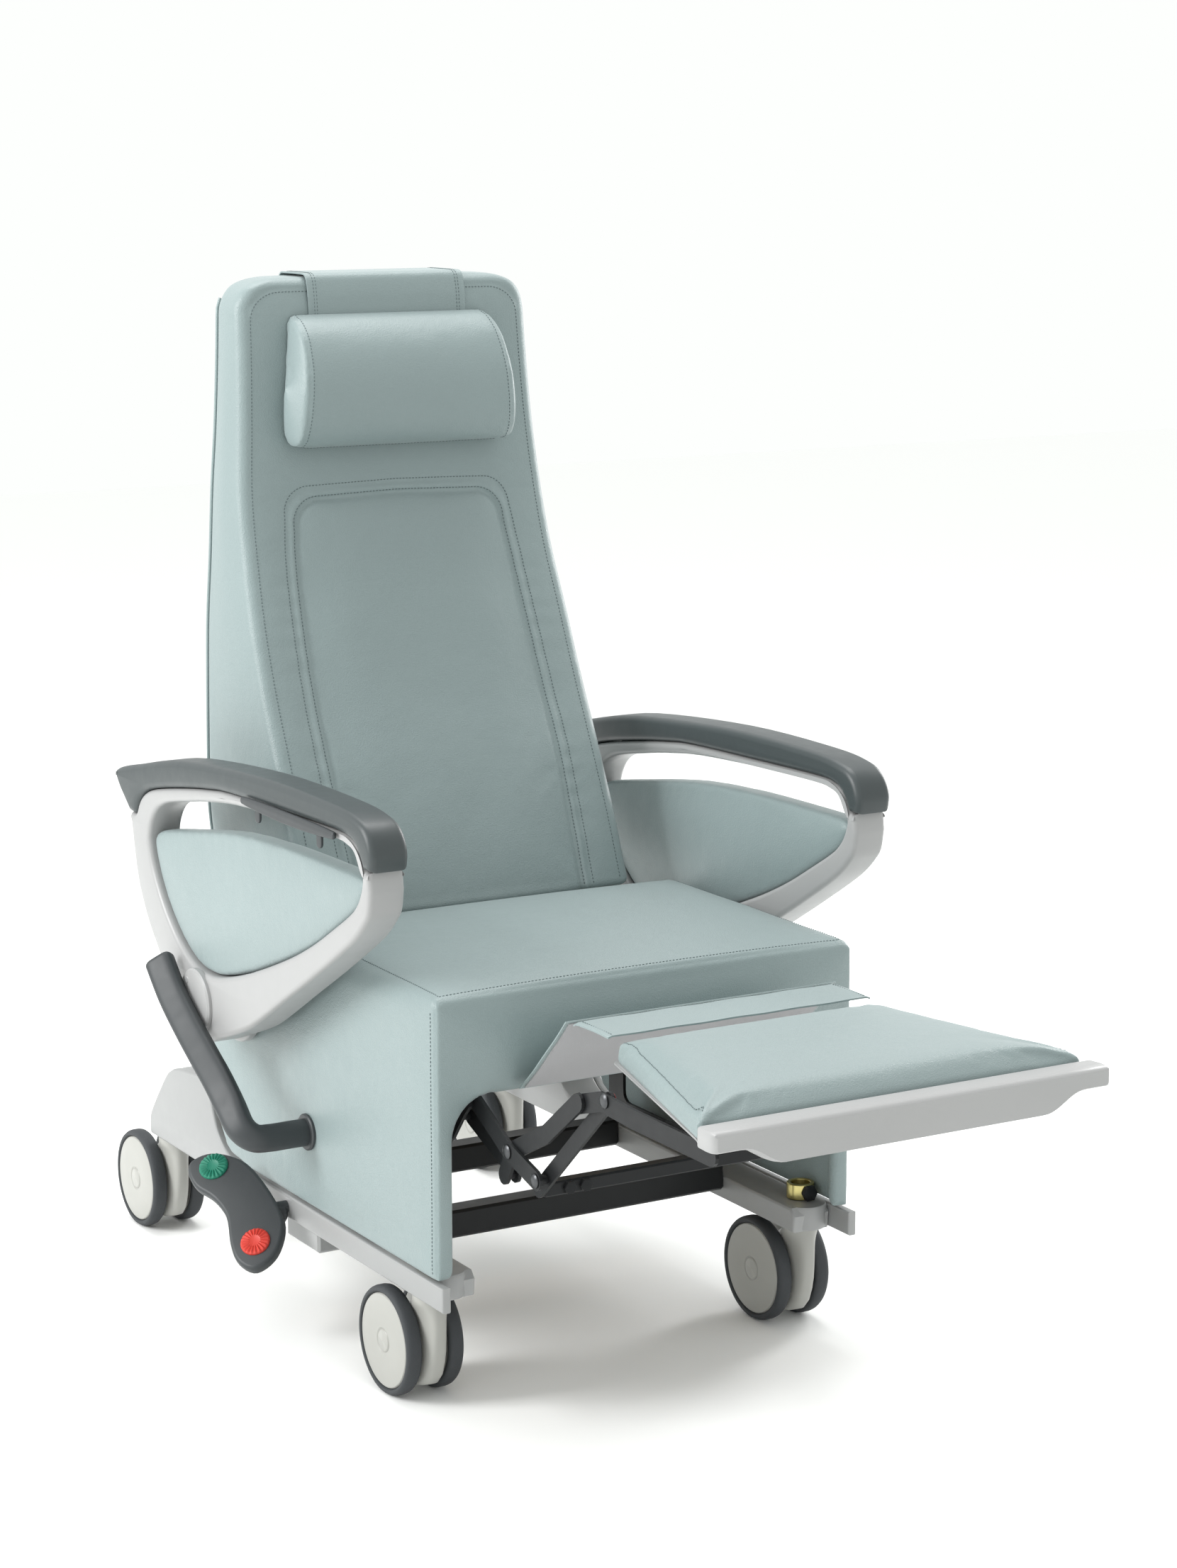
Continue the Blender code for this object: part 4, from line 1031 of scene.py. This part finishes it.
def build_rails():
    """The cast side rails and the front casters' stem collars."""
    lip = bend(((0.100, 0.159), (0.142, 0.164), (0.172, 0.1825), (0.190, 0.214),
                (0.200, 0.238), (0.209, 0.2440), (0.225, 0.2440), (0.2915, 0.2365),
                (0.314, 0.229), (0.3325, 0.2155), (0.374, 0.167), (0.383, 0.150),
                (0.383, 0.134)), 5)
    outer = [(-0.412, 0.1305), (-0.412, 0.1588)] + lip + [(0.381, 0.1305)]
    inner = [(-0.372, 0.1305), (-0.374, 0.150), (-0.366, 0.1588)] + lip + [(0.381, 0.1305)]
    for name, sign in SIDES:
        thin = side_plate(outer, 0.2605 * sign, 0.272 * sign, 0.0028)
        thick = side_plate(inner, 0.210 * sign, 0.2606 * sign, 0.0035)
        foot = lathe(((0, 0.1306), (0.0245, 0.1306), (0.0262, 0.133), (0.0262, 0.156),
                      (0.0245, 0.1589), (0, 0.1589)), Matrix.Translation(
                          (0.2395 * sign, -0.352, 0)), 48)
        piece(f"rail_{name}", join(thin, thick, foot), "base", "paint",
              (f"side_rail_{name}",), smooth=40)
        collar = plate(circle((0.245 * sign, -0.335), 0.0163, 64), 0.0092, 0.0012,
                       [circle((0.245 * sign, -0.335), 0.0115, 48)],
                       Matrix.Translation((0, 0, 0.16875)))
        piece(f"stem_collar_{name}", collar, "base", "zinc",
              (f"stem_bush_{name}",), smooth=40)
        head = plate(circle((0.245 * sign, 0.1688), 0.0098, 6), 0.0032, 0.0008, (),
                     Matrix.Translation((0, -0.3545, 0)) @ AXES_Y)
        piece(f"collar_bolt_{name}", head, "base", "steel", smooth=30)


# ------------------------------------------------------------------ legrest

REAR, FRONT = -0.585, -0.8745


def rest_half(y):
    """The legrest's half width, which grows towards the feet."""
    return 0.163 + (REAR - y) * (0.2387 - 0.163) / (REAR - FRONT)


def build_legrest():
    """The tray and the pad on it."""
    # the tray is a front lip with square ends and a belly that sweeps down between them
    rings = []
    for y, wide, low, top in ((REAR, -0.004, 0.4362, 0.4400), (-0.700, -0.004, 0.4362, 0.4400),
                              (-0.860, -0.004, 0.4362, 0.4400),
                              (FRONT + 0.001, -0.002, 0.4362, 0.4400),
                              (FRONT - 0.0005, 0.0, 0.4345, 0.4560),
                              (-0.8900, 0.001, 0.4345, 0.4566),
                              (-0.8990, 0.001, 0.4348, 0.4562),
                              (-0.9045, -0.0005, 0.4356, 0.4550),
                              (-0.9068, -0.0030, 0.4372, 0.4528)):
        half = min(rest_half(y), 0.2387) + wide
        belly = 0.4140 + 0.35 * (low - 0.4345) + 0.020 * max(0.0, (-0.872 - y) / 0.035) ** 3 * 0.1
        side = [(half * t, belly) for t in (0.30, 0.55, 0.62)]
        for t in np.linspace(0, 1, 15):
            ease = t * t * t * (t * (6 * t - 15) + 10)
            side.append((half * (0.64 + 0.25 * t), belly + (low - belly) * ease))
        side += [(half * 0.94, low), (half - 0.003, low), (half - 0.0008, low + 0.0008),
                 (half, low + 0.003)]
        side += [(half, top - 0.0030), (half - 0.0008, top - 0.0008), (half - 0.003, top),
                 (half * 0.8, top), (half * 0.4, top)]
        ring = side + [(-x, z) for x, z in side[::-1]]
        rings.append([(x, y, z) for x, z in ring])
    piece("legrest_shell", loft(rings), "legrest", "shell",
          ("legrest_tray",), smooth=35)
    # the pad wraps over its sides and rolls down to the lip in front
    deep = 0.4372
    front, rear = FRONT + 0.0020, REAR + 0.0005
    outline = rounded(((rest_half(rear) - 0.014, rear - 0.014, 0.0),
                       (-rest_half(rear) + 0.014, rear - 0.014, 0.5)), 0.012)
    outline += rounded(((-rest_half(front) + 0.010, front + 0.008, 1.0),
                        (rest_half(front) - 0.010, front + 0.008, 1.5)), 0.006)
    slab = plate(outline, 0.0122, 0.0060, (), Matrix.Translation((0, 0, deep + 0.0124)))
    skin = remesh(slab, 0.0041, 4)
    co, no = points_of(skin)
    hold = (co[:, 2] < deep + 0.004) | (co[:, 1] > rear - 0.004)
    across = rest_half(co[:, 1]) - np.abs(co[:, 0])
    most = 0.0040 + 0.0050 * np.clip(no[:, 2], 0, 1) * np.clip(across / 0.02, 0, 1)
    skin = swell(skin, hold, most)
    co, no = points_of(skin)
    up = np.clip(no[:, 2], 0, 1) * (co[:, 2] > deep + 0.012)
    half = rest_half(co[:, 1])
    v = np.clip((rear - co[:, 1]) / (rear - front), 0, 1)
    crown = (1 - np.clip(np.abs(co[:, 0]) / half, 0, 1) ** 4)
    co[:, 2] += up * 0.0055 * crown * (1 - v ** 14) * np.clip(v / 0.15, 0, 1)
    roll = np.clip((front + 0.022 - co[:, 1]) / 0.022, 0, 1)
    co[:, 2] -= up * 0.0050 * roll ** 2
    skin = finer(moved_to(skin, co))
    rows = []
    for sign in (-1, 1):
        seam = [(sign * (rest_half(rear) - 0.0045), rear - 0.004, 0.4625),
                (sign * (rest_half(front) - 0.0065), front + 0.016, 0.4625)]
        groove(skin, seam, 0.0012, 0.0018)
        rows.append(on_skin(skin, [(x - sign * 0.0040, y, z + 0.01) for x, y, z in seam]))
    back_seam = [(-rest_half(rear) + 0.010, rear - 0.004, 0.470),
                 (rest_half(rear) - 0.010, rear - 0.004, 0.470)]
    rows.append(on_skin(skin, back_seam))
    stitching("legrest_stitching", rows, "legrest")
    pad = piece("legrest_cushion", skin, "legrest", "vinyl", ("legrest_pad",),
                smooth=0)


def build_flap():
    """The flap between the seat and the legrest, as two leaves."""
    # front leaf: from the back of the pad to the fold
    width, fold = 0.1655, -0.5106
    rings = []
    for y in np.concatenate([np.linspace(REAR + 0.0012, fold - 0.008, 26),
                             fold - np.array([0.006, 0.004, 0.0025, 0.0012])]):
        droop = 0.0030 * max(0.0, 1 - (fold - y) / 0.010) ** 2
        row = []
        for x in np.linspace(-width, width, 70):
            roll = 0.0016 * max(0.0, 1 - (width - abs(x)) / 0.006) ** 2
            rise = 0.0012 * math.sin(math.pi * min(1.0, (fold - y) / 0.075))
            row.append((x, y, 0.4676 - droop - roll + rise
                        + 0.0003 * math.sin(x * 80 + y * 50)))
        rings.append(row + [(x, y, z - 0.0018) for x, y, z in row[::-1]])
    leaf = piece("flap_leaf_front", loft(rings), "flap_front", "vinyl",
                 ("gap_flap_front",), smooth=50)
    rows = [[(sign * (width - 0.006), y, 0.4683) for y in np.linspace(REAR + 0.004, fold - 0.006, 30)]
            for sign in (-1, 1)]
    stitching("flap_front_stitching", rows, "flap_front")
    # rear leaf: hangs from the fold to the seat, with a pale lining under it
    start, end = Vector((-0.5085, 0.4655)), Vector((-0.4075, 0.3680))
    way = (end - start).normalized()
    normal = Vector((-way.y, way.x))
    wide, length = 0.1725, (end - start).length

    def sheet(half, low, high, first, last):
        rings = []
        for s in np.linspace(first, last, 50):
            sag = 0.0022 * math.sin(math.pi * s)
            row, under = [], []
            for x in np.linspace(-half, half, 60):
                wave = 0.0005 * math.sin(x * 70 + s * 9) * math.sin(math.pi * s)
                spot = start + way * (s * length)
                lower, upper = (spot + normal * (d - sag - wave) for d in (low, high))
                row.append((x, upper.x, upper.y))
                under.append((x, lower.x, lower.y))
            rings.append(row + under[::-1])
        return loft(rings)

    leaf = piece("flap_leaf_rear", sheet(wide, 0.0006, 0.0020, 0.0, 1.0), "flap_rear", "vinyl",
                 ("gap_flap_rear",), smooth=50)
    piece("flap_lining", sheet(wide - 0.0045, -0.0008, 0.0005, 0.02, 0.97), "flap_rear",
          "lining", smooth=50)
    rows = []
    for sign in (-1, 1):
        row = []
        for s in np.linspace(0.02, 0.97, 40):
            spot = start + way * (s * length) + normal * (0.0022 - 0.0022 * math.sin(math.pi * s))
            row.append((sign * (wide - 0.007), spot.x, spot.y))
        rows.append(row)
    stitching("flap_rear_stitching", rows, "flap_rear")


# ------------------------------------------------------------------ linkage

def build_linkage():
    """The steel parts that show as they are, and the rivets on them."""
    for name in ("mech_plate", "lift_arm", "lift_stay", "carry_link", "front_link",
                 "legrest_bracket", "back_bracket"):
        for side, _ in SIDES:
            carried(f"{name}_{side}", "steel", 0.0007)
    for name in ("front", "middle", "rear"):
        carried(f"{name}_cross_tube", "steel", 0.0)
    carried("link_cross_bar", "steel", 0.0)
    carried("pedal_housing", "paint", 0.0)
    carried("seat_board", "board", 0.0)
    carried("back_board", "board", 0.0)
    pivots = (
        ("base", (-0.3754, 0.3622), 0.2225, 0.0085), ("base", (-0.3403, 0.3265), 0.2225, 0.0085),
        ("lift_arms", (-0.4608, 0.3187), 0.2180, 0.0080),
        ("lift_arms", (-0.5208, 0.3024), 0.2180, 0.0080),
        ("legrest", (-0.6493, 0.4207), 0.2090, 0.0080),
    )
    inner = (
        ("front_links", (-0.6493, 0.4207), 0.1996, 0.0075),
        ("front_links", (-0.5208, 0.3024), 0.1996, 0.0075),
        ("lift_stays", (-0.3403, 0.3265), 0.1951, 0.0075),
        ("lift_stays", (-0.4428, 0.2865), 0.1951, 0.0075),
        ("carry_links", (-0.4608, 0.3187), 0.2086, 0.0070),
        ("lift_arms", (-0.3754, 0.3622), 0.2131, 0.0075),
    )
    for name, sign in SIDES:
        groups = {}
        for owner, (y, z), x, radius in pivots:
            head = lathe(((0, -0.0002), (radius, -0.0002), (radius, 0.0010), (radius * 0.8, 0.0024),
                          (radius * 0.35, 0.0030), (0, 0.0031)),
                         outwards(sign, (x * sign, y, z)), 32)
            groups.setdefault((owner, "bare"), []).append(head)
        for owner, (y, z), x, radius in inner:
            place = outwards(-sign, (x * sign, y, z))
            groups.setdefault((owner, "washer"), []).append(
                lathe(((0, -0.0002), (radius, -0.0002), (radius, 0.0009), (0, 0.0009)), place, 32))
            groups.setdefault((owner, "bare"), []).append(
                lathe(((0, 0.0008), (radius * 0.62, 0.0008), (radius * 0.58, 0.0022),
                       (radius * 0.3, 0.0028), (0, 0.0029)), place, 28))
        for (owner, look), meshes in groups.items():
            piece(f"rivets_{look}_{owner}_{name}", join(*meshes), owner, look, smooth=35)
        heads = []
        for x in (0.150, 0.170):
            place = Matrix.Translation((x * sign, -0.5124, 0.2855)) @ AXES_Y
            heads.append(plate(circle((0, 0), 0.0075, 6), 0.0024, 0.0006, (), place))
        piece(f"bar_bolts_{name}", join(*heads), "front_links", "steel", smooth=30)


def carried(name, look, width):
    """A CAD node that shows as itself, with its finish and softened edges."""
    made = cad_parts[name]
    made.data.materials.clear()
    made.data.materials.append(LOOK[look])
    if width:
        edge = made.modifiers.new("Soft edge", "BEVEL")
        edge.width = width
        edge.segments = 2
        edge.limit_method = "ANGLE"
        edge.angle_limit = math.radians(40)


# -------------------------------------------------------------------- stage

def build_stage():
    """A white floor and world, three lamps and the camera."""
    mesh = bpy.data.meshes.new("floor")
    mesh.from_pydata([(-9, -9, 0), (9, -9, 0), (9, 9, 0), (-9, 9, 0)], [], [(0, 1, 2, 3)])
    floor = placed("floor", mesh)
    ground = bpy.data.materials.new("floor")
    ground.use_nodes = True
    out = ground.node_tree.nodes["Principled BSDF"]
    out.inputs["Base Color"].default_value = (0.985, 0.99, 0.98, 1)
    out.inputs["Roughness"].default_value = 0.75
    mesh.materials.append(ground)
    world = bpy.data.worlds.new("studio")
    bpy.context.scene.world = world
    world.use_nodes = True
    back = world.node_tree.nodes["Background"]
    back.inputs["Color"].default_value = (0.985, 1.0, 0.985, 1)
    back.inputs["Strength"].default_value = 1.0
    bpy.context.scene.view_settings.view_transform = "Standard"

    def light(name, spot, aim, size, power, tint=(1, 1, 1)):
        lamp = bpy.data.lights.new(name, "AREA")
        lamp.shape = "RECTANGLE"
        lamp.size, lamp.size_y = size
        lamp.energy = power
        lamp.color = tint
        made = placed(name, lamp)
        made.location = spot
        way = Vector(aim) - Vector(spot)
        made.rotation_euler = way.to_track_quat("-Z", "Y").to_euler()

    light("key", (-3.4, 0.9, 2.2), (0, 0, 0.6), (1.4, 2.0), 120)
    light("top", (0.3, 0.9, 3.4), (0, 0.0, 0.5), (2.2, 1.6), 58)
    light("rim", (2.9, 1.0, 1.5), (0, 0, 0.7), (0.7, 1.8), 46)
    camera = bpy.data.cameras.new("camera")
    camera.lens = 79.51
    camera.sensor_width = 36.0
    made = placed("camera", camera)
    made.location = Vector((-1.9435, -3.5786, 1.4065)) + OFFSET
    made.rotation_euler = (math.radians(79.0823), 0.0, math.radians(-30.3624))
    bpy.context.scene.camera = made


for build in (build_back, build_headrest, build_seat, build_arms, build_controls,
              build_casters, build_rails, build_legrest, build_flap, build_linkage, build_stage):
    build()
